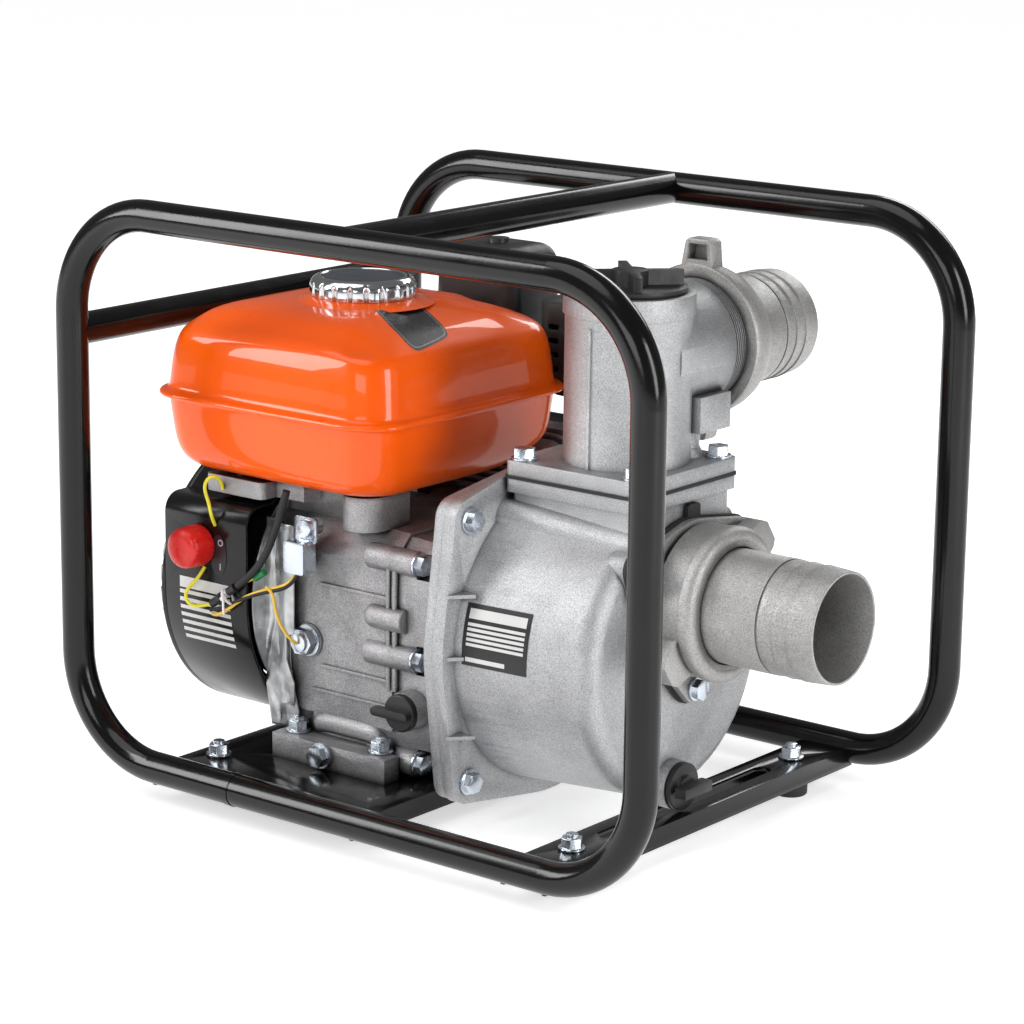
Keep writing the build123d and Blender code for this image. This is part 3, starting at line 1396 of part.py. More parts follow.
E0 = NECK_Z + 2
with BuildPart() as discharge_elbow:
    with BuildSketch(XYp(E0)):
        with Locations((NECK_X, NECK_Y)):
            RectangleRounded(2 * NECK_H, 2 * NECK_H, 5)
    extrude(amount=ELBOW_T)
    with BuildSketch(XYp(E0)):
        with Locations((DIS_X, NECK_Y)):
            Circle(42)
    extrude(amount=362 - E0)
    with BuildSketch(XYp(352)):
        with Locations((DIS_X, NECK_Y)):
            Circle(43.5)
    extrude(amount=14)
    with BuildSketch(XZp(NECK_Y)):
        with Locations((DIS_X, DIS_Z)):
            Circle(43)
    extrude(amount=-62)
    with BuildSketch(XZp(54)):
        with Locations((DIS_X, DIS_Z)):
            Circle(NECK_R)
    extrude(amount=-26)
    # casting pad under the outlet, on a pillar with a flared foot
    with BuildSketch(XYp(272)):
        with Locations((DIS_X + 16, 34)):
            Rectangle(50, 34)
    extrude(amount=24)
    with BuildSketch(XYp(E0 + ELBOW_T)):
        with Locations((DIS_X + 19, 27)):
            Circle(12)
    extrude(amount=20)
    with BuildSketch(XYp(E0 + ELBOW_T)):
        with Locations((DIS_X + 19, 27)):
            Circle(15)
    extrude(amount=6, taper=26)
    # parting rib
    with BuildSketch(XZp(NECK_Y - 41)):
        with Locations((DIS_X, 300)):
            Rectangle(2, 92)
    extrude(amount=2.2)
    # water way
    with BuildSketch(XYp(E0)):
        with Locations((NECK_X, NECK_Y)):
            Circle(35)
    extrude(amount=100, mode=Mode.SUBTRACT)
    with BuildSketch(XZp(NECK_Y)):
        with Locations((DIS_X, DIS_Z)):
            Circle(PORT_R)
    extrude(amount=-100, mode=Mode.SUBTRACT)
    # first turns of the thread
    for y in (55.4, 57.6, 59.8, 62, 64.2):
        with BuildSketch(XZp(y)):
            with Locations((DIS_X, DIS_Z)):
                Circle(NECK_R + 2)
                Circle(NECK_R - 1, mode=Mode.SUBTRACT)
        extrude(amount=-1.1, mode=Mode.SUBTRACT)
    # priming port
    with BuildSketch(XYp(340)):
        with Locations((DIS_X, NECK_Y)):
            Circle(29)
    extrude(amount=30, mode=Mode.SUBTRACT)
    with BuildSketch(XYp(E0)):
        with Locations((NECK_X, NECK_Y)):
            with GridLocations(91, 91, 2, 2):
                Circle(4.3)
    extrude(amount=ELBOW_T, mode=Mode.SUBTRACT)
    with BuildSketch(XYp(E0 + ELBOW_T)):
        with Locations((NECK_X, NECK_Y)):
            with GridLocations(91, 91, 2, 2):
                Circle(9.5)
    extrude(amount=16, mode=Mode.SUBTRACT)

D1, D2 = 58.0, 80.0
with BuildPart() as discharge_hose_tail:
    with BuildSketch(YZp(DIS_X)):
        with BuildLine():
            Polyline(*hose_tail(D2, (122, 133, 144), DIS_END, DIS_Z), close=True)
        make_face()
    revolve(axis=Axis((CX + DIS_X, 0, DIS_Z), (0, 1, 0)), revolution_arc=360)

with BuildPart() as discharge_nut:
    with BuildSketch(YZp(DIS_X)):
        with BuildLine():
            Polyline((D2 + 13.5, DIS_Z + 43.2), (D2 + 14, DIS_Z + 42),
                     (D2 + 14, DIS_Z + TAIL_R + 1), (D2 + 5.5, DIS_Z + TAIL_R + 1),
                     (D2 + 5.5, DIS_Z + NECK_R + THREAD_GAP), (D1 + 8, DIS_Z + NECK_R + THREAD_GAP),
                     (D1 + 8, DIS_Z + 50.4), (D1 + 10, DIS_Z + 51.4), (D2 - 6, DIS_Z + 51.4))
            ThreePointArc((D2 - 6, DIS_Z + 51.4), (D2 + 5, DIS_Z + 48.8), (D2 + 13.5, DIS_Z + 43.2))
        make_face()
    revolve(axis=Axis((CX + DIS_X, 0, DIS_Z), (0, 1, 0)), revolution_arc=360)
    for a in (0, 180):
        with BuildSketch(XZp(D1 + 9)):
            with Locations((DIS_X, DIS_Z)):
                with Locations(Location((0, 0, 0), (0, 0, a))):
                    Polygon((-14, 46), (-10, 66), (-8, 68), (8, 68), (10, 66), (12, 46), align=None)
        extrude(amount=-13)
        with BuildSketch(XZp(D1 + 9)):
            with Locations((DIS_X, DIS_Z)):
                with Locations(Location((0, 0, 0), (0, 0, a))):
                    Polygon((-8.5, 54), (-7, 64.5), (7, 64.5), (8, 54), align=None)
        extrude(amount=-9, mode=Mode.SUBTRACT)

with BuildPart() as drain_plug_seal:
    with BuildSketch(YZp(158.02)):
        with Locations((-18, 43)):
            Circle(14.5)
            Circle(10.4, mode=Mode.SUBTRACT)
    extrude(amount=1.46)

with BuildPart() as priming_cap_seal:
    with BuildSketch(XYp(366.02)):
        with Locations((DIS_X, NECK_Y)):
            Circle(36)
            Circle(29, mode=Mode.SUBTRACT)
    extrude(amount=0.96)

# priming plug with two finger bars
with BuildPart() as priming_cap:
    with BuildSketch(XYp(367)):
        with Locations((DIS_X, NECK_Y)):
            Circle(38)
    extrude(amount=3)
    with BuildSketch(XYp(367)):
        with Locations((DIS_X, NECK_Y)):
            Circle(28.5)
            Circle(24, mode=Mode.SUBTRACT)
    extrude(amount=-15)
    with BuildSketch(XYp(370)):
        with Locations((DIS_X, NECK_Y)):
            Circle(12)
            with PolarLocations(20, 4, start_angle=45):
                Rectangle(30, 6)
    extrude(amount=10)

# wet end
with BuildPart() as volute:
    with BuildSketch(YZp(56)):
        with Locations((CRANK_Y, CRANK_Z)):
            Circle(84)
    extrude(amount=50)
    with BuildSketch(YZp(FLANGE_XM)):
        with Locations((CRANK_Y, CRANK_Z)):
            Circle(88)
            Circle(70, mode=Mode.SUBTRACT)
    extrude(amount=56 - FLANGE_XM + 1)
    with BuildSketch(YZp(56)):
        with Locations((CRANK_Y, CRANK_Z)):
            Circle(79)
    extrude(amount=42, mode=Mode.SUBTRACT)
    with BuildSketch(YZp(90)):
        with Locations((CRANK_Y, CRANK_Z)):
            Circle(26)
    extrude(amount=20, mode=Mode.SUBTRACT)
    # throat of the scroll, opening upwards
    with BuildSketch(XYp(CRANK_Z + 60)):
        with Locations((78, CRANK_Y + 42)):
            RectangleRounded(30, 34, 6)
    extrude(amount=40, mode=Mode.SUBTRACT)

with BuildPart() as impeller:
    with BuildSketch(YZp(64)):
        with Locations((CRANK_Y, CRANK_Z)):
            Circle(68)
    extrude(amount=5)
    with BuildSketch(YZp(69)):
        with Locations((CRANK_Y, CRANK_Z)):
            Circle(20)
            for k in range(4):
                with Locations(Location((0, 0), 90 * k)):
                    with Locations((38, 10)):
                        Rectangle(52, 4.5, rotation=38)
    extrude(amount=19)
    # acorn nut on the shaft end
    with BuildSketch(YZp(88)):
        with Locations((CRANK_Y, CRANK_Z)):
            RegularPolygon(12, 6)
    extrude(amount=9)
    with BuildSketch(YZp(60)):
        with Locations((CRANK_Y, CRANK_Z)):
            Circle(SHAFT_R)
    extrude(amount=30, mode=Mode.SUBTRACT)

with BuildPart() as mechanical_seal:
    with BuildSketch(YZp(PTO_X + 14)):
        with Locations((CRANK_Y, CRANK_Z)):
            Circle(20)
            Circle(SHAFT_R + 0.4, mode=Mode.SUBTRACT)
    extrude(amount=12)
    with BuildSketch(YZp(PTO_X + 26)):
        with Locations((CRANK_Y, CRANK_Z)):
            Circle(16)
            Circle(SHAFT_R + 0.4, mode=Mode.SUBTRACT)
    extrude(amount=20)

# ------------------------------------------------------------- fasteners ---
# M8 flange-head screws and nuts
with BuildPart() as hex_bolts:
    # head pads (flange, then hexagon, then shank) in each direction
    for plane, pts, grip in (
            (YZp(FLANGE_X1), FLANGE_BOLTS, 14), (YZp(CASE_X1 + 19), COVER_LOBES, 34)):
        with BuildSketch(plane):
            with Locations(*pts):
                Circle(8.8)
        extrude(amount=1.6)
        with BuildSketch(plane.offset(1.6)):
            with Locations(*pts):
                RegularPolygon(7.3, 6)
        extrude(amount=5.6)
        with BuildSketch(plane):
            with Locations(*pts):
                Circle(4)
        extrude(amount=-grip)
    with BuildSketch(YZp(S1 + 6)):
        with Locations((SUC_Y, SUC_Z)):
            with PolarLocations(63, 3, start_angle=33):
                Circle(8)
    extrude(amount=1.6)
    with BuildSketch(YZp(S1 + 7.6)):
        with Locations((SUC_Y, SUC_Z)):
            with PolarLocations(63, 3, start_angle=33):
                RegularPolygon(7.3, 6)
    extrude(amount=5)
    with BuildSketch(YZp(S1 + 6)):
        with Locations((SUC_Y, SUC_Z)):
            with PolarLocations(63, 3, start_angle=33):
                Circle(4)
    extrude(amount=-18)
    with BuildSketch(XYp(E0 + ELBOW_T)):
        with Locations((NECK_X, NECK_Y)):
            with GridLocations(91, 91, 2, 2):
                Circle(8.8)
    extrude(amount=1.6)
    with BuildSketch(XYp(E0 + ELBOW_T + 1.6)):
        with Locations((NECK_X, NECK_Y)):
            with GridLocations(91, 91, 2, 2):
                RegularPolygon(7.3, 6)
    extrude(amount=6)
    with BuildSketch(XYp(E0 + ELBOW_T)):
        with Locations((NECK_X, NECK_Y)):
            with GridLocations(91, 91, 2, 2):
                Circle(4)
    extrude(amount=-20)

    # oil drain bolt
    with BuildSketch(XZp(-107)):
        with Locations((-78, 36)):
            Circle(9)
    extrude(amount=1.6)
    with BuildSketch(XZp(-108.6)):
        with Locations((-78, 36)):
            RegularPolygon(7.5, 6)
    extrude(amount=6)
    with BuildSketch(XZp(-107)):
        with Locations((-78, 36)):
            Circle(5)
    extrude(amount=-14)

# nuts and studs that hold the engine and the rubber feet to the frame
with BuildPart() as frame_bolts:
    base_pts = [(x, y) for x in BOLT_X for y in BOLT_Y]
    for z, pts, low in ((DECK_TOP + 17, base_pts, 22), (DECK_TOP, FEET, 16)):
        with BuildSketch(XYp(z)):
            with Locations(*pts):
                Circle(8.8)
        extrude(amount=1.6)
        with BuildSketch(XYp(z + 1.6)):
            with Locations(*pts):
                RegularPolygon(7.3, 6)
        extrude(amount=6.4)
        with BuildSketch(XYp(z + 10.5)):
            with Locations(*pts):
                Circle(4)
        extrude(amount=-10.5 - low)
    # heads below the base plate
    with BuildSketch(XYp(DECK_TOP - DECK_T)):
        with Locations(*base_pts):
            Circle(8)
    extrude(amount=-5)

exports = dict(
    frame_near_loop=frame_near_loop, frame_far_loop=frame_far_loop, frame_cross_bars=frame_cross_bars,
    engine_base_plate=engine_base_plate, front_channel=front_channel, rubber_feet=rubber_feet,
    crankcase=crankcase, side_cover=side_cover, oil_filler_plug=oil_filler_plug, cylinder_head=cylinder_head,
    rocker_cover=rocker_cover, spark_plug=spark_plug, spark_plug_cap=spark_plug_cap,
    crankshaft=crankshaft, main_bearings=main_bearings, connecting_rod=connecting_rod, piston=piston,
    flywheel=flywheel, cooling_fan=cooling_fan, fan_cover=fan_cover, recoil_housing=recoil_housing,
    recoil_reel=recoil_reel, starter_rope=starter_rope, starter_handle=starter_handle,
    shroud_plate=shroud_plate, switch_knob=switch_knob, oil_alert_unit=oil_alert_unit,
    tank_bracket=tank_bracket, fuel_tank=fuel_tank_shell, fuel_cap=fuel_cap, fuel_hose=fuel_hose,
    carburettor=carburettor, air_cleaner_base=air_cleaner_base, air_cleaner_cover=air_cleaner_cover,
    muffler=muffler, muffler_guard=muffler_guard, choke_lever=choke_lever, throttle_lever=throttle_lever,
    pump_bracket=pump_bracket, pump_casing=pump_casing, flange_gaskets=flange_gaskets,
    suction_flange=suction_flange, check_valve_flap=check_valve_flap,
    suction_hose_tail=suction_hose_tail, suction_nut=suction_nut, pump_drain_plug=pump_drain_plug,
    discharge_elbow=discharge_elbow, discharge_hose_tail=discharge_hose_tail, discharge_nut=discharge_nut,
    priming_cap=priming_cap, volute=volute, impeller=impeller, mechanical_seal=mechanical_seal,
    hex_bolts=hex_bolts, frame_bolts=frame_bolts, engine_leads=engine_leads, fuel_cap_seal=fuel_cap_seal,
    priming_cap_seal=priming_cap_seal, drain_plug_seal=drain_plug_seal, oil_plug_seal=oil_plug_seal)
for k, v in exports.items():
    v.part.label = k
    export_step(v.part, f"parts/{k}.step")
    print(k, len(v.part.solids()), round(v.part.volume))
print(len(exports), "nodes")
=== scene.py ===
import bpy
import bmesh
import json
import math
from mathutils import Matrix, Vector, noise
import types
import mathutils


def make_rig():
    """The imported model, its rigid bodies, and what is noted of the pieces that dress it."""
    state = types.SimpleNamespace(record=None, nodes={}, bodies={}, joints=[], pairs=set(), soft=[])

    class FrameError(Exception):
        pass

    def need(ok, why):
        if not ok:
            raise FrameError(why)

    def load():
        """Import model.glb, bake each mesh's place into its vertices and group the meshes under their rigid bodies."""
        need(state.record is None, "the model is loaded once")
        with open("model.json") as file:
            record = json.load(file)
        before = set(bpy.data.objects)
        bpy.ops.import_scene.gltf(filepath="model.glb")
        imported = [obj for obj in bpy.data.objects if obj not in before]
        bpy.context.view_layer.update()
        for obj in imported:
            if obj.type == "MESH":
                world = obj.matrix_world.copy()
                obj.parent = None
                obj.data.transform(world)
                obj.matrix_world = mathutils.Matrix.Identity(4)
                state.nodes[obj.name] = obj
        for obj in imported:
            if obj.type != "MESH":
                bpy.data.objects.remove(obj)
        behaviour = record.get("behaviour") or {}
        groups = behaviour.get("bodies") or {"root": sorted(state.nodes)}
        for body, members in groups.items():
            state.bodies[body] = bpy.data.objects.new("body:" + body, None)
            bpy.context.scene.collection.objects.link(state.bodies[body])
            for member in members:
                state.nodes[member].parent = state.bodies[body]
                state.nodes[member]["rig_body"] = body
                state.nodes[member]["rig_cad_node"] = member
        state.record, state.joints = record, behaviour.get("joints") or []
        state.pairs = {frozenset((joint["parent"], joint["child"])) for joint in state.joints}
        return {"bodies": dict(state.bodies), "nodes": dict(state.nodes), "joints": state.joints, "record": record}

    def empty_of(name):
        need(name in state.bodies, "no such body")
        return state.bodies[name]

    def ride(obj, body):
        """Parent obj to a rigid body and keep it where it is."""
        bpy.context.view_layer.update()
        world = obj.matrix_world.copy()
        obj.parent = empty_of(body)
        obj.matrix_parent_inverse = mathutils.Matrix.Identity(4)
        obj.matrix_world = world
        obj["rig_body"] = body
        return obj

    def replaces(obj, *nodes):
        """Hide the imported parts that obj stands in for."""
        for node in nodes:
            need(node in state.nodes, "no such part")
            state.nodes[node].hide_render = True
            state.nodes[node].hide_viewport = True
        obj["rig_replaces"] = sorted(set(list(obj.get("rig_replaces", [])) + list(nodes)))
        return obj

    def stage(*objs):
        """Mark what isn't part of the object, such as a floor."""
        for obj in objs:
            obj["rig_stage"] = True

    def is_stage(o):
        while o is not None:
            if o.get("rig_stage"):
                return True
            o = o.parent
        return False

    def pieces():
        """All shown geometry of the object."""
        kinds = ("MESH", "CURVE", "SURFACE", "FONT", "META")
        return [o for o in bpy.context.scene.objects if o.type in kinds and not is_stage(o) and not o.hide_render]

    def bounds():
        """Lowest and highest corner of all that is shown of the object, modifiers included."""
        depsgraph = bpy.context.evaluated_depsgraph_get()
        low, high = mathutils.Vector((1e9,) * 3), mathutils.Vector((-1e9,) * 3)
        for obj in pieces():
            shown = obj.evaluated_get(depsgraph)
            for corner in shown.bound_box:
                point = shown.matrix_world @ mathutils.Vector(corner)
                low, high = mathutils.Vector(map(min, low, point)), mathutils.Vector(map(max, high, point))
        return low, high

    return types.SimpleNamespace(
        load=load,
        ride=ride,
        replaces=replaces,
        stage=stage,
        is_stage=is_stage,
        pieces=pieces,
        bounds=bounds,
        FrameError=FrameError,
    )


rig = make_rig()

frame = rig.load()
CAD_LO, CAD_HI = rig.bounds()
CX = -0.012                         # the frame's middle in the row frame
ROOT = "engine and frame"
scene = bpy.context.scene


# ------------------------------------------------------------- materials --
class Mat:
    """A principled material with a few node helpers."""

    def __init__(self, name, color, rough, metal=0.0, **sockets):
        m = bpy.data.materials.new(name)
        m.use_nodes = True
        self.m, self.t = m, m.node_tree
        self.b = self.t.nodes["Principled BSDF"]
        self.b.inputs["Base Color"].default_value = (*color, 1)
        self.b.inputs["Roughness"].default_value = rough
        self.b.inputs["Metallic"].default_value = metal
        for k, v in sockets.items():
            self.b.inputs[k.replace("_", " ")].default_value = v
        self.co = self.t.nodes.new("ShaderNodeTexCoord").outputs["Object"]
        self.height = None

    def noise(self, scale, detail=3.0, rough=0.5, stretch=None):
        n = self.t.nodes.new("ShaderNodeTexNoise")
        n.inputs["Scale"].default_value = scale
        n.inputs["Detail"].default_value = detail
        n.inputs["Roughness"].default_value = rough
        src = self.co
        if stretch:
            mp = self.t.nodes.new("ShaderNodeMapping")
            mp.inputs["Scale"].default_value = stretch
            self.t.links.new(self.co, mp.inputs["Vector"])
            src = mp.outputs["Vector"]
        self.t.links.new(src, n.inputs["Vector"])
        return n.outputs["Fac"]

    def voronoi(self, scale, out="Color"):
        n = self.t.nodes.new("ShaderNodeTexVoronoi")
        n.inputs["Scale"].default_value = scale
        self.t.links.new(self.co, n.inputs["Vector"])
        return n.outputs[out]

    def ramp(self, src, stops):
        r = self.t.nodes.new("ShaderNodeValToRGB")
        e = r.color_ramp.elements
        while len(e) < len(stops):
            e.new(0.5)
        for el, (p, c) in zip(e, stops):
            el.position = p
            el.color = (*c, 1) if len(c) == 3 else c
        self.t.links.new(src, r.inputs["Fac"])
        return r.outputs["Color"]

    def grey(self, src, lo, hi, a=0.35, b=0.65):
        return self.ramp(src, [(a, (lo,) * 3), (b, (hi,) * 3)])

    def mix(self, fac, a, b, kind="MIX"):
        n = self.t.nodes.new("ShaderNodeMix")
        n.data_type = "RGBA"
        n.blend_type = kind
        for s, v in ((n.inputs[0], fac), (n.inputs[6], a), (n.inputs[7], b)):
            if isinstance(v, bpy.types.NodeSocket):
                self.t.links.new(v, s)
            elif isinstance(v, (int, float)):
                s.default_value = v
            else:
                s.default_value = (*v, 1)
        return n.outputs[2]

    def color(self, src):
        self.t.links.new(src, self.b.inputs["Base Color"])
        return self

    def rough(self, src):
        self.t.links.new(src, self.b.inputs["Roughness"])
        return self

    def bump(self, src, strength, dist=0.001):
        n = self.t.nodes.new("ShaderNodeBump")
        n.inputs["Strength"].default_value = strength
        n.inputs["Distance"].default_value = dist
        self.t.links.new(src, n.inputs["Height"])
        if self.height:
            self.t.links.new(self.height, n.inputs["Normal"])
        self.height = n.outputs["Normal"]
        self.t.links.new(self.height, self.b.inputs["Normal"])
        return self

    def painted_recess_shade(self, base, dark, dist=0.006, lo=0.35, hi=0.9):
        """Paints shade into the colour where a surface lies deep between other surfaces, as ambient occlusion finds
        them.
        """
        a = self.t.nodes.new("ShaderNodeAmbientOcclusion")
        a.inputs["Distance"].default_value = dist
        a.samples = 6
        f = self.grey(a.outputs["AO"], 0, 1, lo, hi)
        return self.mix(f, dark, base)


def powder_black(name, base, rough):
    k = Mat(name, base, rough)
    k.b.inputs["Specular IOR Level"].default_value = 0.34
    n = k.noise(420, 2)
    k.color(k.ramp(k.noise(22, 4), [(0.3, tuple(c * 0.75 for c in base)), (0.7, tuple(c * 1.35 for c in base))]))
    k.rough(k.grey(k.noise(35, 5), rough * 0.8, rough * 1.3, 0.3, 0.7))
    k.bump(n, 0.10, 0.0004)
    return k.m


def cast(name, light, dark, metal, rough, grain, pits, recess_shade_colour):
    k = Mat(name, light, rough, metal)
    mottled = k.ramp(k.noise(38, 6, 0.6), [(0.3, dark), (0.68, light)])
    fine = k.grey(k.noise(1300, 2, 0.8), 0.66, 1.26, 0.36, 0.64)
    c = k.mix(1.0, mottled, fine, "MULTIPLY")
    # Painted shade: the colour darkens where ambient occlusion finds recesses.
    k.color(k.painted_recess_shade(c, recess_shade_colour))
    k.rough(k.grey(k.noise(300, 4), rough - 0.08, rough + 0.12, 0.3, 0.7))
    k.bump(k.noise(55, 4), 0.25, 0.0012)
    k.bump(k.noise(grain, 4, 0.65), pits, 0.0006)
    return k.m


MATS = {}
MATS["frame_black"] = powder_black("frame_black", (0.0032, 0.003, 0.003), 0.15)
MATS["cover_black"] = powder_black("cover_black", (0.0035, 0.0035, 0.0038), 0.2)
# The last colour of each casting is its painted shade in recesses.
MATS["cast_aluminium"] = cast("cast_aluminium", (0.425, 0.42, 0.428), (0.295, 0.291, 0.299), 0.72, 0.36, 900, 0.8, (0.034, 0.033, 0.034))
MATS["pump_silver"] = cast("pump_silver", (0.47, 0.475, 0.485), (0.385, 0.39, 0.40), 0.80, 0.36, 1500, 0.55, (0.12, 0.12, 0.125))
MATS["raw_aluminium"] = cast("raw_aluminium", (0.44, 0.435, 0.425), (0.36, 0.355, 0.347), 0.78, 0.46, 1500, 0.4, (0.10, 0.096, 0.092))
MATS["cast_iron"] = cast("cast_iron", (0.13, 0.13, 0.13), (0.08, 0.078, 0.075), 0.8, 0.5, 600, 0.6, (0.03, 0.03, 0.03))


def simple(name, base, rough, metal=0.0, var=0.15, bump=0.1, scale=600, **kw):
    k = Mat(name, base, rough, metal, **kw)
    k.color(k.ramp(k.noise(60, 5), [(0.3, tuple(c * (1 - var) for c in base)), (0.7, tuple(min(1, c * (1 + var)) for c in base))]))
    k.rough(k.grey(k.noise(120, 4), max(0.02, rough - 0.06), rough + 0.08, 0.3, 0.7))
    k.bump(k.noise(scale, 3), bump, 0.0004)
    return k.m


MATS["black_rubber"] = simple("black_rubber", (0.012, 0.012, 0.0125), 0.62, bump=0.25)
MATS["black_plastic"] = simple("black_plastic", (0.012, 0.012, 0.013), 0.42, bump=0.2, scale=900)
MATS["machined_steel"] = simple("machined_steel", (0.55, 0.55, 0.56), 0.28, 1.0, bump=0.1)
MATS["white_nylon"] = simple("white_nylon", (0.62, 0.62, 0.58), 0.45)
MATS["rope"] = simple("rope", (0.55, 0.55, 0.52), 0.8, bump=0.8, scale=1200)
MATS["red_plastic"] = simple("red_plastic", (0.62, 0.012, 0.008), 0.30, var=0.08, bump=0.06)
MATS["zinc_steel"] = simple("zinc_steel", (0.60, 0.655, 0.72), 0.24, 1.0, var=0.12, bump=0.15)
MATS["chrome"] = simple("chrome", (0.66, 0.67, 0.69), 0.13, 1.0, var=0.03, bump=0.02)
MATS["muffler_steel"] = simple("muffler_steel", (0.02, 0.02, 0.02), 0.55, 0.2, bump=0.3)

g = Mat("galvanised_sheet", (0.55, 0.56, 0.57), 0.34, 0.95)
sp = g.grey(g.voronoi(130, "Distance"), 0.72, 1.1, 0.1, 0.7)
g.color(g.mix(1.0, g.ramp(g.noise(40, 4), [(0.3, (0.42, 0.43, 0.44)), (0.7, (0.60, 0.61, 0.62))]), sp, "MULTIPLY"))
g.rough(g.grey(g.noise(160, 4), 0.25, 0.45, 0.3, 0.7))
g.bump(g.noise(220, 3), 0.15, 0.0006)
MATS["galvanised_sheet"] = g.m

o = Mat("tank_orange", (0.92, 0.105, 0.001), 0.34)
o.b.inputs["Coat Weight"].default_value = 0.55
o.b.inputs["Coat Roughness"].default_value = 0.02
o.b.inputs["Specular IOR Level"].default_value = 0.15
o.color(o.ramp(o.noise(14, 3), [(0.3, (0.90, 0.098, 0.0008)), (0.7, (0.95, 0.115, 0.001))]))
o.rough(o.grey(o.noise(45, 4), 0.26, 0.36, 0.3, 0.7))
o.bump(o.noise(220, 2), 0.03, 0.0004)
MATS["tank_orange"] = o.m
MATS["lead_insulation"] = simple("lead_insulation", (0.75, 0.50, 0.03), 0.4)
MATS["lead_yellow"] = simple("lead_yellow", (0.80, 0.72, 0.03), 0.35)
MATS["lead_orange"] = simple("lead_orange", (0.80, 0.50, 0.05), 0.35)
MATS["connector_green"] = simple("connector_green", (0.02, 0.22, 0.08), 0.4)

slots = {s["node"]: s["material_slot"] for s in frame["record"]["subparts"]}


# ---------------------------------------------------------------- meshes --
def finish_mesh(obj, angle=38):
    me = obj.data
    for p in me.polygons:
        p.use_smooth = True
    me.set_sharp_from_angle(angle=math.radians(angle))
    return obj


def new_object(name, bm, mat, body=ROOT, node=None, angle=38):
    me = bpy.data.meshes.new(name)
    bm.to_mesh(me)
    bm.free()
    ob = bpy.data.objects.new(name, me)
    scene.collection.objects.link(ob)
    me.materials.append(MATS[mat] if isinstance(mat, str) else mat)
    finish_mesh(ob, angle)
    if node:
        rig.replaces(ob, *([node] if isinstance(node, str) else node))
    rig.ride(ob, body)
    return ob


def body_of_node(n):
    for b, ns in frame["record"]["behaviour"]["bodies"].items():
        if n in ns:
            return b
    return ROOT


def rounded(node, width, angle=32, segments=2, mat=None):
    """A copy of a CAD node with its edges rounded as a casting's or a pressing's are."""
    src = frame["nodes"][node]
    bm = bmesh.new()
    bm.from_mesh(src.data)
    bmesh.ops.remove_doubles(bm, verts=bm.verts, dist=2e-6)
    bmesh.ops.dissolve_limit(bm, angle_limit=math.radians(0.8), verts=bm.verts, edges=bm.edges, delimit=set())
    bm.normal_update()
    picked = []
    for e in bm.edges:
        if len(e.link_faces) == 2 and e.calc_length() > 2e-5:
            a = e.calc_face_angle(0)
            if a > math.radians(angle):
                picked.append(e)
    bmesh.ops.bevel(bm, geom=picked, offset=width, offset_type="OFFSET", segments=segments, profile=0.5,
                    affect="EDGES", clamp_overlap=True, harden_normals=False)
    return new_object(node + "_shape", bm, mat or slots[node], body_of_node(node), node, angle=44)


for n, obj in frame["nodes"].items():
    obj.data.materials.clear()
    obj.data.materials.append(MATS[slots[n]])

# ------------------------------------------------------------- fuel tank --
def rrect(ax, ay, r, bow, n_side=18, n_corner=12):
    """Points round a rounded rectangle with bowed sides, always the same number of them."""
    pts = []
    cx, cy = ax - r, ay - r
    for q, (sx, sy) in enumerate(((1, 1), (-1, 1), (-1, -1), (1, -1))):
        a0 = q * math.pi / 2
        for i in range(n_corner):
            a = a0 + (i / n_corner) * math.pi / 2
            pts.append([sx * cx + r * math.cos(a), sy * cy + r * math.sin(a)])
        # straight to the next corner
        a = a0 + math.pi / 2
        x0, y0 = sx * cx + r * math.cos(a), sy * cy + r * math.sin(a)
        nx, ny = ((-1, 1), (-1, -1), (1, -1), (1, 1))[q]
        x1, y1 = nx * cx + r * math.cos(a), ny * cy + r * math.sin(a)
        for i in range(n_side):
            t = i / n_side
            pts.append([x0 + (x1 - x0) * t, y0 + (y1 - y0) * t])
    out = []
    for x, y in pts:
        u, v = x / ax, y / ay
        out.append((x * (1 + bow / ax * (1 - min(1, v * v))), y * (1 + bow / ay * (1 - min(1, u * u)))))
    return out


def smooth(a, b, x):
    t = max(0.0, min(1.0, (x - a) / (b - a)))
    return t * t * (3 - 2 * t)


def tank_top(x, y, z):
    """Pressed form of the upper shell: a plateau round the filler, falling away to the right."""
    if z < 312:
        return z
    k = smooth(312, 328, z)
    plateau = smooth(-214, -206, x) * smooth(-90, -82, y)
    right = smooth(-90, -80, x + 0.20 * (y - 2))
    z += k * (0.3 - 2.4 * (1 - plateau))
    z -= k * (3.0 * right + 0.075 * max(0, x + 84))
    z -= k * 0.035 * max(0, -60 - y)
    return z


def tank_bottom(x, y, z):
    if y > 20:
        lift = max(0.0, (y - 34) * 29 / 62)
        s = max(z, 216 + lift + 3 * math.exp(-((y - 34) / 14) ** 2))
        return max(z, s)
    return z


mx, my, hx, hy = -128.0, -6.5, 108.0, 110.5        # middle and half sizes over the flange
bm = bmesh.new()
loops = []


def tank_loop(inset, z, r, bow, fn=None):
    vs = []
    for x, y in rrect(hx - inset, hy - inset, r, bow):
        X, Y, Z = x + mx, y + my, z
        if fn:
            Z = fn(X, Y, Z)
        vs.append(bm.verts.new(((X / 1000) + CX, Y / 1000, Z / 1000)))
    loops.append(vs)


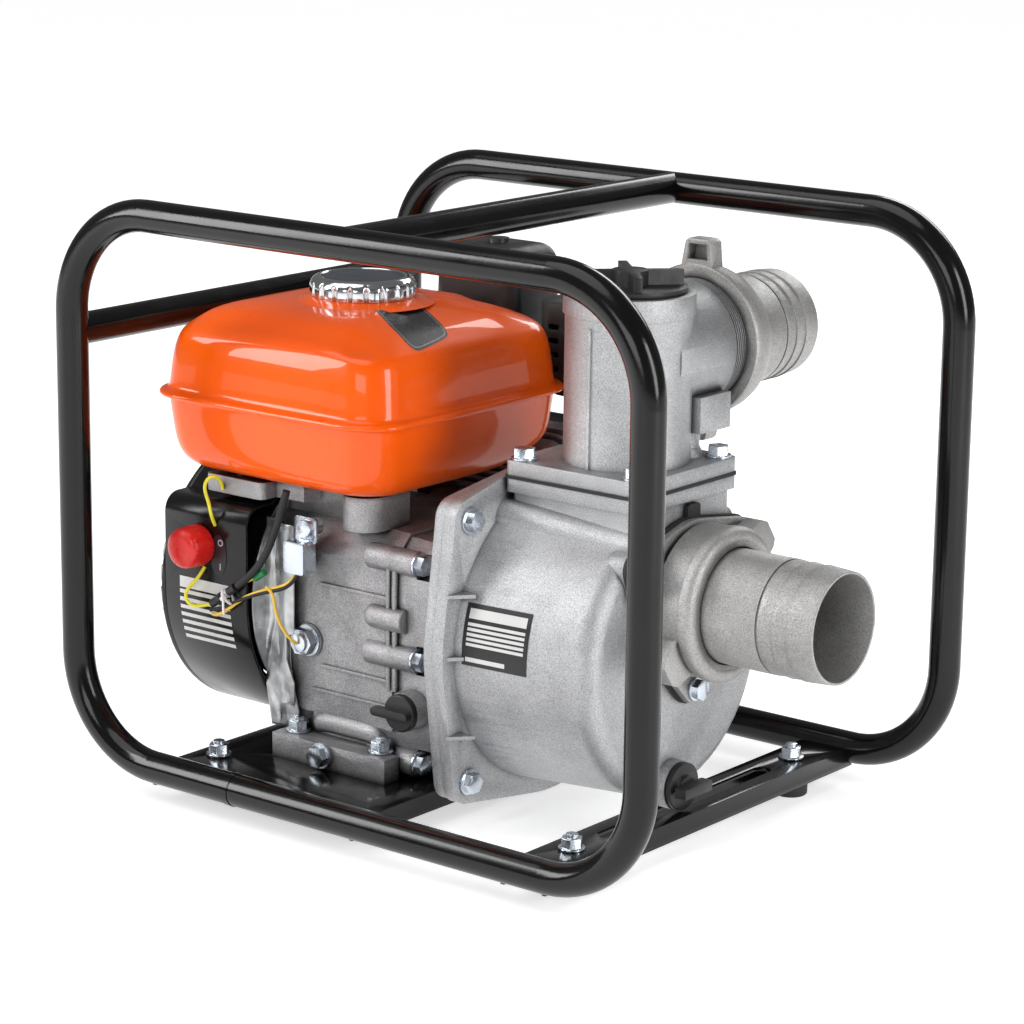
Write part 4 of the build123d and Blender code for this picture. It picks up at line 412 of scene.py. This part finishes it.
for d, z, r in ((80, 216, 18), (52, 216, 22), (36, 216.2, 23), (27, 217.0, 24), (20.5, 219.2, 24), (15.5, 223.4, 24),
                (12.2, 229.5, 24), (10.2, 238, 24), (8.7, 250, 25), (7.8, 260, 25), (7.2, 265.6, 25), (6.8, 267.4, 25.5)):
    tank_loop(d, z, r, 2.0 if d > 40 else 2.4, tank_bottom)
for d, z, r in ((5.6, 268.0, 27), (3.0, 268.1, 29), (1.2, 268.5, 30.5), (0.45, 269.3, 31), (0.3, 270.3, 31), (0.7, 271.4, 31),
                (1.7, 272.3, 30), (3.4, 272.8, 29), (5.4, 273.2, 27), (6.8, 274.6, 25.5), (7.3, 277.0, 25)):
    tank_loop(d, z, r, 2.4)
for d, z, r in ((7.9, 284, 25), (8.6, 292, 25), (9.6, 300, 25), (11.2, 307.5, 25), (13.6, 313.5, 25), (17.2, 318.8, 25), (22, 323.2, 24),
                (28, 326.7, 23), (36, 329.4, 22), (46, 331.4, 20), (57, 332.8, 18), (68, 333.5, 16), (79, 333.8, 13),
                (89, 334, 9), (97, 334, 6)):
    tank_loop(d, z, r, 2.2, tank_top)
for a, b in zip(loops, loops[1:]):
    k = len(a)
    for i in range(k):
        bm.faces.new((a[i], a[(i + 1) % k], b[(i + 1) % k], b[i]))
for vs, up_ in ((loops[0], False), (loops[-1], True)):
    c = sum((v.co for v in vs), Vector()) / len(vs)
    cv = bm.verts.new(c)
    for i in range(len(vs)):
        a, b = vs[i], vs[(i + 1) % len(vs)]
        bm.faces.new((a, b, cv) if up_ else (b, a, cv))
tank = new_object("tank_shell", bm, "tank_orange", ROOT, "fuel_tank", angle=60)
sub = tank.modifiers.new("smooth", "SUBSURF")
sub.levels = sub.render_levels = 1

# plain dark label beside the cap, laid on the shell
from mathutils.bvhtree import BVHTree
bpy.context.view_layer.update()
tree = BVHTree.FromObject(tank, bpy.context.evaluated_depsgraph_get())
TAG = [(-94, -32), (-92, 0), (-88, 6), (-62, -6), (-44, -15), (-40, -21), (-34, -55), (-36, -62), (-58, -54), (-84, -42), (-91, -37)]


def on_shell(x, y, lift):
    hit = tree.ray_cast(Vector((x / 1000 + CX, y / 1000, 0.40)), Vector((0, 0, -1)))
    z = hit[0].z if hit[0] else 0.33
    return Vector((x / 1000 + CX, y / 1000, z + lift / 1000))


def tag_mesh(grow, lift, rings=10):
    bm = bmesh.new()
    cx = sum(p[0] for p in TAG) / len(TAG)
    cy = sum(p[1] for p in TAG) / len(TAG)
    edge = []
    k = len(TAG)
    for i in range(k):
        (x0, y0), (x1, y1), (x2, y2) = TAG[i - 1], TAG[i], TAG[(i + 1) % k]
        a0, b0 = ((x0 + x1) / 2, (y0 + y1) / 2), ((x1 + x2) / 2, (y1 + y2) / 2)
        for t in range(8):
            t /= 8
            edge.append(((1 - t) ** 2 * a0[0] + 2 * t * (1 - t) * x1 + t * t * b0[0],
                         (1 - t) ** 2 * a0[1] + 2 * t * (1 - t) * y1 + t * t * b0[1]))
    prev = None
    mid = bm.verts.new(on_shell(cx, cy, lift))
    for r in range(1, rings + 1):
        f = r / rings * grow
        ring = [bm.verts.new(on_shell(cx + (x - cx) * f, cy + (y - cy) * f, lift)) for x, y in edge]
        for i in range(len(ring)):
            j = (i + 1) % len(ring)
            if prev is None:
                bm.faces.new((mid, ring[i], ring[j]))
            else:
                bm.faces.new((prev[i], ring[i], ring[j], prev[j]))
        prev = ring
    return bm


tag = Mat("tag_black", (0.009, 0.009, 0.01), 0.3)
tag.color(tag.ramp(tag.noise(90, 3), [(0.3, (0.008, 0.008, 0.009)), (0.7, (0.013, 0.012, 0.013))]))
tag.rough(tag.grey(tag.noise(150, 3), 0.24, 0.36, 0.3, 0.7))
rim = Mat("tag_grey", (0.35, 0.34, 0.33), 0.35)
rim.color(rim.ramp(rim.noise(90, 3), [(0.3, (0.32, 0.31, 0.30)), (0.7, (0.38, 0.37, 0.36))]))
rim.rough(rim.grey(rim.noise(150, 3), 0.3, 0.42, 0.3, 0.7))
for nm, grow, lift, mt in (("tank_tag", 1.0, 0.16, tag.m), ("tank_tag_line", 0.93, 0.22, rim.m), ("tank_tag_face", 0.905, 0.28, tag.m)):
    new_object(nm, tag_mesh(grow, lift), mt, ROOT, angle=80)

# raised filler seat
bm = bmesh.new()
prof = [(50, 332.4), (44, 334.3), (40.5, 335.2), (38.5, 336.2), (32, 336.8), (27.5, 337.2), (26, 338.0), (24, 338.0), (24, 329)]


def revolve_profile(bm, prof, cx, cy, n=96, mod=None):
    rings = []
    for r, z in prof:
        ring = []
        for i in range(n):
            a = 2 * math.pi * i / n
            rr, zz = (mod(r, z, a) if mod else (r, z))
            ring.append(bm.verts.new(((cx + rr * math.cos(a)) / 1000 + CX, (cy + rr * math.sin(a)) / 1000, zz / 1000)))
        rings.append(ring)
    for a, b in zip(rings, rings[1:]):
        for i in range(n):
            bm.faces.new((a[i], a[(i + 1) % n], b[(i + 1) % n], b[i]))
    return rings


revolve_profile(bm, prof, -126, -9)
new_object("filler_seat", bm, "tank_orange", ROOT, angle=50)

# chrome cap with narrow flutes in its rim and a blue-grey disc
FLUTES = 20


def flute(r, z, a):
    if r < 33 or z > 348.0:
        return r, z
    d = (a / (2 * math.pi) * FLUTES) % 1 - 0.5
    depth = 2.3 * math.exp(-((d / 0.12) ** 2)) * smooth(347.8, 344.5, z) * smooth(33, 36, r)
    return r - depth, z


bm = bmesh.new()
prof = [(30.6, 335.6), (35.0, 335.4), (36.4, 336), (36.9, 337.4), (37.0, 340), (37.0, 343), (36.9, 344.8), (36.4, 346.6),
        (35.3, 348.3), (33.7, 349.6), (32.0, 350.4), (30.4, 350.8), (29.4, 350.6), (29.0, 350.0)]
revolve_profile(bm, prof, -126, -9, 480, flute)
cap = new_object("cap_rim", bm, "chrome", "fuel filler cap", "fuel_cap", angle=55)
bm = bmesh.new()
rings = revolve_profile(bm, [(29.05, 350.0), (28.2, 350.2), (22, 350.45), (11, 350.65), (2, 350.7)], -126, -9, 96)
bm.faces.new(rings[-1])
d = Mat("cap_disc", (0.10, 0.12, 0.155), 0.30, 0.75)
d.color(d.ramp(d.noise(70, 3), [(0.3, (0.09, 0.108, 0.14)), (0.7, (0.115, 0.135, 0.172))]))
d.rough(d.grey(d.noise(200, 4), 0.25, 0.36, 0.3, 0.7))
d.bump(d.noise(900, 2), 0.05, 0.0003)
new_object("cap_disc", bm, d.m, "fuel filler cap", angle=50)


# ---------------------------------------------------------------- wiring --
def curve_piece(name, pts, radius, mat, body=ROOT, order=4, res=10):
    cu = bpy.data.curves.new(name, "CURVE")
    cu.dimensions = "3D"
    cu.bevel_depth = radius / 1000
    cu.bevel_resolution = 5
    cu.resolution_u = res
    cu.use_fill_caps = True
    s = cu.splines.new("NURBS")
    s.points.add(len(pts) - 1)
    for p, (x, y, z) in zip(s.points, pts):
        p.co = (x / 1000 + CX, y / 1000, z / 1000, 1)
    s.order_u = order
    s.use_endpoint_u = True
    ob = bpy.data.objects.new(name, cu)
    scene.collection.objects.link(ob)
    cu.materials.append(MATS[mat] if isinstance(mat, str) else mat)
    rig.ride(ob, body)
    return ob


first = curve_piece("lead_stop_upper", [(-174, -100.8, 207), (-172.5, -103.5, 213.5), (-171, -110, 218.5), (-175, -115, 217.5), (-178, -116, 209),
                                        (-173, -115, 200), (-171.5, -115.5, 191), (-173.5, -109.4, 183)], 1.25, "lead_yellow")
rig.replaces(first, "engine_leads")
curve_piece("lead_stop_lower", [(-183.8, -109.4, 151.5), (-184.5, -113.5, 146), (-189, -115.5, 140), (-195.5, -116, 134.5), (-196.5, -116, 127.5),
                                (-190, -116.5, 123.5), (-181, -117, 125.2), (-170, -116, 129.0)], 1.25, "lead_yellow")
curve_piece("lead_sensor_a", [(-170, -116.4, 121.8), (-165, -116.2, 121.2), (-159, -115.6, 125.0), (-151, -114.6, 131.5), (-143, -113, 137.5), (-131, -109, 143.5),
                              (-118, -104, 147), (-110, -101, 151), (-107.5, -98.5, 158.9)], 1.3, "lead_orange")
curve_piece("lead_sensor_b", [(-127, -108.5, 146.5), (-121.5, -108, 145), (-120.2, -107.5, 136), (-119, -106.5, 127), (-115, -105, 118), (-110, -102.5, 111), (-107.6, -98.5, 108)], 1.15, "lead_orange")
curve_piece("lead_black", [(-171, -117.4, 124.4), (-160, -116.4, 127.6), (-148, -114.6, 134.8), (-132, -110.4, 141.6), (-119, -105.4, 145), (-109, -102.4, 149),
                           (-105.4, -98.8, 158.9)], 1.3, "black_rubber")
curve_piece("lead_sleeve", [(-118, -97, 213.5), (-120, -97.5, 206), (-122.5, -98.8, 196), (-126, -101, 183), (-129.5, -103.5, 171), (-134, -107.5, 160),
                            (-141, -112, 151), (-148.4, -114.4, 144.9)], 2.7, "black_rubber")
curve_piece("lead_plug", [(-130.2, 168.6, 212.9), (-140, 169.5, 211), (-154, 168, 204), (-170, 160, 194.5), (-184, 142, 184.5), (-187, 122, 180.5), (-187, 105.4, 180)], 3.1, "black_rubber")

# crimped connectors, their clear sleeves and the cable tie
axis = Vector((21, 1.2, 15.1)).normalized()


def along(t, off=(0, 0, 0)):
    return tuple(Vector((-170.7, -116.0, 128.7)) + axis * t + Vector(off))


curve_piece("connector_lower", [along(0), along(4), along(9), along(13)], 3.0, "black_plastic")
curve_piece("connector_bead", [along(9.5), along(10.5), along(11.5)], 3.5, "black_plastic")
clear = simple("clear_sleeve", (0.55, 0.55, 0.56), 0.25, var=0.2)
curve_piece("connector_clear", [along(13), along(15.5), along(18.5)], 2.9, clear)
curve_piece("connector_upper", [along(18.5), along(21.5), along(25.8)], 3.1, "black_plastic")
curve_piece("connector_green", [(-139.5, -105.5, 150.5), (-136, -105.5, 152.8), (-131, -105.5, 156)], 2.7, "connector_green")
curve_piece("connector_wire", [(-148.4, -114.0, 144.9), (-145.5, -110.5, 147.5), (-143, -107, 148.8), (-139.5, -105.5, 150.5)], 1.2, "lead_yellow")
white = simple("tie_white", (0.75, 0.75, 0.73), 0.35, var=0.05)
tie = []
n1 = Vector((0, -1, 0.05)).normalized()
n2 = axis.cross(n1).normalized()
for i in range(14):
    a = 2 * math.pi * i / 13
    c = Vector((-156.5, -115.3, 136.2)) + n1 * (4.2 * math.cos(a)) + n2 * (6.0 * math.sin(a)) + axis * 0.5 * math.sin(a)
    tie.append(tuple(c))
curve_piece("cable_tie", tie, 0.85, white)
curve_piece("cable_tie_tail", [(-156, -119.8, 136), (-155.5, -121.3, 133), (-155, -121.6, 129), (-154.6, -121.2, 125)], 0.8, white)
curve_piece("cable_tie_head", [(-157.6, -120.0, 135.2), (-156.2, -120.3, 136.0), (-154.8, -120.4, 136.6)], 1.7, white)

# stop switch: moulded knob with ribs, a pointer tongue and its marked plate
KX, KZ = -188.0, 167.0


def revolve_y(name, prof, cx, cz, mat, body, n=72, mod=None, node=None, angle=40):
    """Revolves (radius, y) points about a line along Y."""
    bm = bmesh.new()
    rings = []
    for r, y in prof:
        ring = []
        for i in range(n):
            a = 2 * math.pi * i / n
            rr = mod(r, y, a) if mod else r
            ring.append(bm.verts.new(((cx + rr * math.cos(a)) / 1000 + CX, y / 1000, (cz + rr * math.sin(a)) / 1000)))
        rings.append(ring)
    for a, b in zip(rings, rings[1:]):
        for i in range(n):
            bm.faces.new((a[i], b[i], b[(i + 1) % n], a[(i + 1) % n]))
    bm.faces.new(list(reversed(rings[0])))
    bm.faces.new(rings[-1])
    bmesh.ops.recalc_face_normals(bm, faces=bm.faces)
    return new_object(name, bm, mat, body, node, angle)


def knob_rib(r, y, a):
    if r < 12.5 or y < -127:
        return r
    return r - 0.55 * (0.5 + 0.5 * math.cos(a * 24)) ** 2


revolve_y("knob_body", [(14.2, -109.7), (14.6, -110.4), (14.7, -113), (14.5, -121), (14.2, -125.5), (13.4, -127.6), (11.6, -128.9), (8, -129.6), (3, -129.8)],
          KX, KZ, "red_plastic", "stop switch knob", 96, knob_rib, "switch_knob", 50)
bm = bmesh.new()
outline = [(-12, 4.6), (-18.0, 4.0), (-20.2, 3.0), (-20.8, 0), (-20.2, -3.0), (-18.0, -4.0), (-12, -4.6)]
for y in (-111.2, -118.2):
    vs = [bm.verts.new(((KX + x) / 1000 + CX, y / 1000, (KZ + z) / 1000)) for x, z in outline]
    bm.faces.new(vs)
a, b = [v for v in bm.verts][:7], [v for v in bm.verts][7:]
for i in range(7):
    bm.faces.new((a[i], a[(i + 1) % 7], b[(i + 1) % 7], b[i]))
bmesh.ops.recalc_face_normals(bm, faces=bm.faces)
bmesh.ops.bevel(bm, geom=[e for e in bm.edges if e.calc_face_angle(0) > 0.9], offset=0.0012, segments=3, profile=0.5, affect="EDGES")
new_object("knob_tongue", bm, "red_plastic", "stop switch knob")

# marked plate beside the knob: a ring for stop and a bar for run
plate = simple("plate_dark", (0.016, 0.010, 0.014), 0.35)
mark = simple("mark_grey", (0.42, 0.42, 0.44), 0.5, var=0.05)


def flat_xz(name, pts, y, thick, mat, body=ROOT):
    """A thin plate facing -Y from an outline of (x, z) points."""
    bm = bmesh.new()
    lo_ = [bm.verts.new((x / 1000 + CX, y / 1000, z / 1000)) for x, z in pts]
    hi_ = [bm.verts.new((x / 1000 + CX, (y + thick) / 1000, z / 1000)) for x, z in pts]
    bm.faces.new(lo_)
    bm.faces.new(list(reversed(hi_)))
    k = len(pts)
    for i in range(k):
        bm.faces.new((lo_[i], hi_[i], hi_[(i + 1) % k], lo_[(i + 1) % k]))
    bmesh.ops.recalc_face_normals(bm, faces=bm.faces)
    return new_object(name, bm, mat, body)


oval = [(-170.5 + 7.5 * math.cos(t * math.pi / 16), 162 + 14.5 * math.sin(t * math.pi / 16)) for t in range(32)]
flat_xz("switch_plate", oval, -109.5, 0.45, plate)
bm = bmesh.new()
n = 28
ra, rb = [], []
for i in range(n):
    t = 2 * math.pi * i / n
    ra.append(bm.verts.new(((-168.5 + 2.4 * math.cos(t)) / 1000 + CX, -0.10958, (171 + 2.4 * math.sin(t)) / 1000)))
    rb.append(bm.verts.new(((-168.5 + 1.6 * math.cos(t)) / 1000 + CX, -0.10958, (171 + 1.6 * math.sin(t)) / 1000)))
for i in range(n):
    bm.faces.new((ra[i], ra[(i + 1) % n], rb[(i + 1) % n], rb[i]))
new_object("mark_stop", bm, mark, ROOT)
flat_xz("mark_run", [(-169.3, 151.6), (-168.3, 151.6), (-168.3, 156.2), (-169.3, 156.2)], -109.6, 0.1, mark)

# cast details on the near side of the crankcase: joint beads, a blind boss and the foot's cove
for i, x in enumerate((-36.2, -30.6)):
    curve_piece(f"joint_bead_upper_{i}", [(x, -84.6, 180), (x, -85.2, 172), (x, -85.2, 160), (x - 0.6, -85.2, 150), (x, -85.0, 140)], 2.1, "cast_aluminium")
    curve_piece(f"joint_bead_lower_{i}", [(x, -85.0, 132), (x, -85.2, 126), (x, -85.2, 122), (x, -85.0, 114)], 2.1, "cast_aluminium")
    curve_piece(f"joint_bead_foot_{i}", [(x, -84.8, 102), (x, -85.2, 96), (x, -85.2, 92), (x, -84.6, 86)], 2.1, "cast_aluminium")


def cylinder_x(name, x0, x1, y, z, prof, mat, body=ROOT, n=48):
    """A turned shape along X from (offset, radius) pairs, closed at both ends."""
    bm = bmesh.new()
    rings = []
    for dx, r in prof:
        rings.append([bm.verts.new(((x0 + dx) / 1000 + CX, (y + r * math.cos(2 * math.pi * k / n)) / 1000,
                                    (z + r * math.sin(2 * math.pi * k / n)) / 1000)) for k in range(n)])
    for a, b in zip(rings, rings[1:]):
        for k in range(n):
            bm.faces.new((a[k], a[(k + 1) % n], b[(k + 1) % n], b[k]))
    bm.faces.new(list(reversed(rings[0])))
    bm.faces.new(rings[-1])
    bmesh.ops.recalc_face_normals(bm, faces=bm.faces)
    return new_object(name, bm, mat, body, angle=50)


cylinder_x("blind_boss", -55, -21.5, -83.6, 135.6, [(0, 3.5), (0.8, 6), (2.4, 7.6), (5, 8.4), (32, 8.4), (33.0, 8.1), (33.5, 7.4)], "cast_aluminium")
curve_piece("foot_cove", [(-101, -78, 46), (-100, -80, 50.5), (-92, -80.6, 51.5), (-70, -80.6, 51.5), (-56, -80.6, 51.5), (-49, -80, 50.5), (-48, -78, 46)], 8.2, "cast_aluminium")


def sheet_xz(name, rows, cols, zs, left, right, yfun, thick, mat, body=ROOT):
    """A pressed sheet facing -Y, between two edges given as (z, x) tables."""
    def at(tab, z):
        tab = sorted(tab)
        if z <= tab[0][0]:
            return tab[0][1]
        for (z0, x0), (z1, x1) in zip(tab, tab[1:]):
            if z <= z1:
                return x0 + (x1 - x0) * (z - z0) / (z1 - z0)
        return tab[-1][1]
    bm = bmesh.new()
    grid = []
    for j in range(rows + 1):
        z = zs[0] + (zs[1] - zs[0]) * j / rows
        xl, xr_ = at(left, z), at(right, z)
        grid.append([bm.verts.new(((xl + (xr_ - xl) * i / cols) / 1000 + CX, yfun(xl + (xr_ - xl) * i / cols, z) / 1000, z / 1000))
                     for i in range(cols + 1)])
    for j in range(rows):
        for i in range(cols):
            bm.faces.new((grid[j][i], grid[j][i + 1], grid[j + 1][i + 1], grid[j + 1][i]))
    ob = new_object(name, bm, mat, body, angle=40)
    so = ob.modifiers.new("gauge", "SOLIDIFY")
    so.thickness = thick / 1000
    so.offset = 1.0
    return ob


def wing_y(x, z):
    ridge = smooth(-136.5, -139.5, x + 0.22 * max(0, 118 - z)) * smooth(90, 97, z) * smooth(184, 176, z)
    roll = 2.6 * smooth(-131, -126.5, x)
    low = 2.2 * smooth(84, 62, z)
    return -87.4 - 2.8 * ridge + roll - low + 0.35 * math.sin(z * 0.21 + x * 0.35)


sheet_xz("shroud_wing", 90, 26, (43, 190),
         [(43, -138), (60, -142), (72, -144.6), (190, -144.6)],
         [(43, -127), (47, -119), (54, -115.6), (62, -117.5), (75, -122), (90, -125.4), (104, -125.8), (113, -128.5), (119, -132), (124, -128.6),
          (128, -127), (178, -127.6), (184, -130), (190, -134)], wing_y, 1.2, "galvanised_sheet")

# rating plates, left blank but for plain bars
label_white = simple("label_white", (0.62, 0.62, 0.61), 0.45, var=0.04)
label_black = simple("label_black", (0.010, 0.010, 0.011), 0.38, var=0.1)


def drum_patch(name, x0, x1, z0, z1, lift, mat, r_of_x, cy=-9.0, cz=130.0, nx=2, nz=14, corner=0.0):
    """A thin curved patch lying on the near side of a drum about the crank axis; r_of_x may also give a flat wall."""
    bm = bmesh.new()
    grid = []
    for j in range(nz + 1):
        row = []
        for i in range(nx + 1):
            x = x0 + (x1 - x0) * i / nx
            z = z0 + (z1 - z0) * j / nz
            y = r_of_x(x, z) - lift
            row.append(bm.verts.new((x / 1000 + CX, y / 1000, z / 1000)))
        grid.append(row)
    for j in range(nz):
        for i in range(nx):
            bm.faces.new((grid[j][i], grid[j][i + 1], grid[j + 1][i + 1], grid[j + 1][i]))
    return new_object(name, bm, mat, ROOT)


def cover_wall(x, z):
    if 122 <= z <= 198:
        return -109.0
    return -9 - math.sqrt(max(0, 100 ** 2 - (z - 130) ** 2))


def drum_wall(x, z):
    r = 104 - 6 * (x - 44) / (136 - 44)
    return -9 - math.sqrt(max(0, r * r - (z - 130) ** 2))


for i, (za, zb) in enumerate([(133.5, 141.5)] + [(129.2 - 5.6 * k, 132.0 - 5.6 * k) for k in range(7)]):
    drum_patch(f"cover_bar_{i}", -208, -160, za, zb, 0.25, label_white, cover_wall)
drum_patch("casing_plate", 50, 101, 126.5, 167, 0.25, label_black, drum_wall, nx=8, nz=12)
for i, (za, zb) in enumerate([(157.5, 164.0)] + [(152.9 - 3.3 * k, 154.9 - 3.3 * k) for k in range(5)] + [(129.2, 132.2)]):
    drum_patch(f"casing_bar_{i}", 53, 98 if i < 6 else 84, za, zb, 0.45, label_white, drum_wall, nx=8, nz=3)

# castings and pressings with their edges rounded
for node, width in (("crankcase", 0.0011), ("side_cover", 0.0011), ("pump_casing", 0.0012), ("pump_bracket", 0.0011), ("discharge_elbow", 0.0012),
                    ("suction_flange", 0.0010), ("suction_nut", 0.0008), ("discharge_nut", 0.0008), ("suction_hose_tail", 0.0003),
                    ("discharge_hose_tail", 0.0003), ("tank_bracket", 0.0012), ("shroud_plate", 0.0004), ("fan_cover", 0.0008),
                    ("recoil_housing", 0.0005), ("hex_bolts", 0.00035), ("frame_bolts", 0.00035), ("oil_alert_unit", 0.0007),
                    ("engine_base_plate", 0.0006), ("front_channel", 0.0006), ("rubber_feet", 0.0006), ("oil_filler_plug", 0.0006),
                    ("pump_drain_plug", 0.0006), ("priming_cap", 0.0008), ("air_cleaner_cover", 0.0006), ("air_cleaner_base", 0.0006),
                    ("muffler_guard", 0.0003), ("cylinder_head", 0.0006), ("rocker_cover", 0.0010), ("carburettor", 0.0005),
                    ("starter_handle", 0.0012), ("spark_plug_cap", 0.0008), ("throttle_lever", 0.0003), ("choke_lever", 0.0004)):
    try:
        rounded(node, width)
    except Exception as e:
        print("ROUND FAILED", node, e)

# ----------------------------------------------------------- stage, light --
bm = bmesh.new()
bmesh.ops.create_grid(bm, x_segments=1, y_segments=1, size=6)
me = bpy.data.meshes.new("floor")
bm.to_mesh(me)
bm.free()
floor = bpy.data.objects.new("floor", me)
scene.collection.objects.link(floor)
f = Mat("floor_paper", (0.86, 0.86, 0.86), 0.7)
f.color(f.ramp(f.noise(1.2, 2), [(0.3, (0.855, 0.855, 0.855)), (0.7, (0.865, 0.865, 0.865))]))
f.b.inputs["Emission Color"].default_value = (1, 1, 1, 1)
f.b.inputs["Emission Strength"].default_value = 0.58
me.materials.append(f.m)
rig.stage(floor)

w = bpy.data.worlds.new("studio")
scene.world = w
w.use_nodes = True
nt = w.node_tree
bg = nt.nodes["Background"]
bg.inputs["Color"].default_value = (1, 1, 1, 1)
bg.inputs["Strength"].default_value = 0.16
bg2 = nt.nodes.new("ShaderNodeBackground")
bg2.inputs["Color"].default_value = (1, 1, 1, 1)
bg2.inputs["Strength"].default_value = 1.0
lp = nt.nodes.new("ShaderNodeLightPath")
mx = nt.nodes.new("ShaderNodeMixShader")
nt.links.new(lp.outputs["Is Camera Ray"], mx.inputs["Fac"])
nt.links.new(bg.outputs["Background"], mx.inputs[1])
nt.links.new(bg2.outputs["Background"], mx.inputs[2])
nt.links.new(mx.outputs["Shader"], nt.nodes["World Output"].inputs["Surface"])


def area(name, loc, target, sx, sy, power):
    l = bpy.data.lights.new(name, "AREA")
    l.shape = "RECTANGLE"
    l.size, l.size_y, l.energy = sx, sy, power
    ob = bpy.data.objects.new(name, l)
    scene.collection.objects.link(ob)
    ob.location = loc
    ob.rotation_mode = "QUATERNION"
    ob.rotation_quaternion = (Vector(target) - Vector(loc)).to_track_quat("-Z", "Y")
    return ob


sun = bpy.data.lights.new("sky_card", "SUN")
sun.energy, sun.angle = 1.15, math.radians(50)
sun_ob = bpy.data.objects.new("sky_card", sun)
scene.collection.objects.link(sun_ob)
sun_ob.rotation_mode = "QUATERNION"
sun_ob.rotation_quaternion = Vector((0.25, 0.35, -1)).to_track_quat("-Z", "Y")
area("key_left", (-1.7, -1.6, 1.3), (0, 0, 0.2), 0.7, 1.5, 34)
area("fill_right", (2.0, -0.1, 0.9), (0, 0, 0.2), 0.6, 1.3, 22)
area("front_card", (0.5, -2.6, 1.0), (0, 0, 0.2), 1.4, 0.9, 14)
area("back", (-0.3, 2.2, 1.4), (0, 0, 0.2), 1.4, 0.8, 18)

# ---------------------------------------------------------------- camera --
cam = bpy.data.cameras.new("camera")
cam_ob = bpy.data.objects.new("camera", cam)
scene.collection.objects.link(cam_ob)
scene.camera = cam_ob
cam.lens, cam.sensor_width = 116.48, 36.0
az, el, roll = map(math.radians, (38.454, 13.586, 0.654))
back = Vector((math.sin(az) * math.cos(el), -math.cos(az) * math.cos(el), math.sin(el)))
right = Vector((math.cos(az), math.sin(az), 0))
up = back.cross(right)
xr = math.cos(roll) * right + math.sin(roll) * up
yr = -math.sin(roll) * right + math.cos(roll) * up
m = Matrix.Identity(4)
for i in range(3):
    m[i][0], m[i][1], m[i][2] = xr[i], yr[i], back[i]
m.translation = Vector(((1366.2 - 12.0) / 1000, -1.7191, 0.7307))
cam_ob.matrix_world = m
cam.clip_start, cam.clip_end = 0.05, 50

scene.view_settings.view_transform = "Standard"
scene.view_settings.look = "None"

lo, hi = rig.bounds()
with open("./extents.json", "w") as fh:
    json.dump({"cad": [list(CAD_LO), list(CAD_HI)], "visual": [list(lo), list(hi)]}, fh)
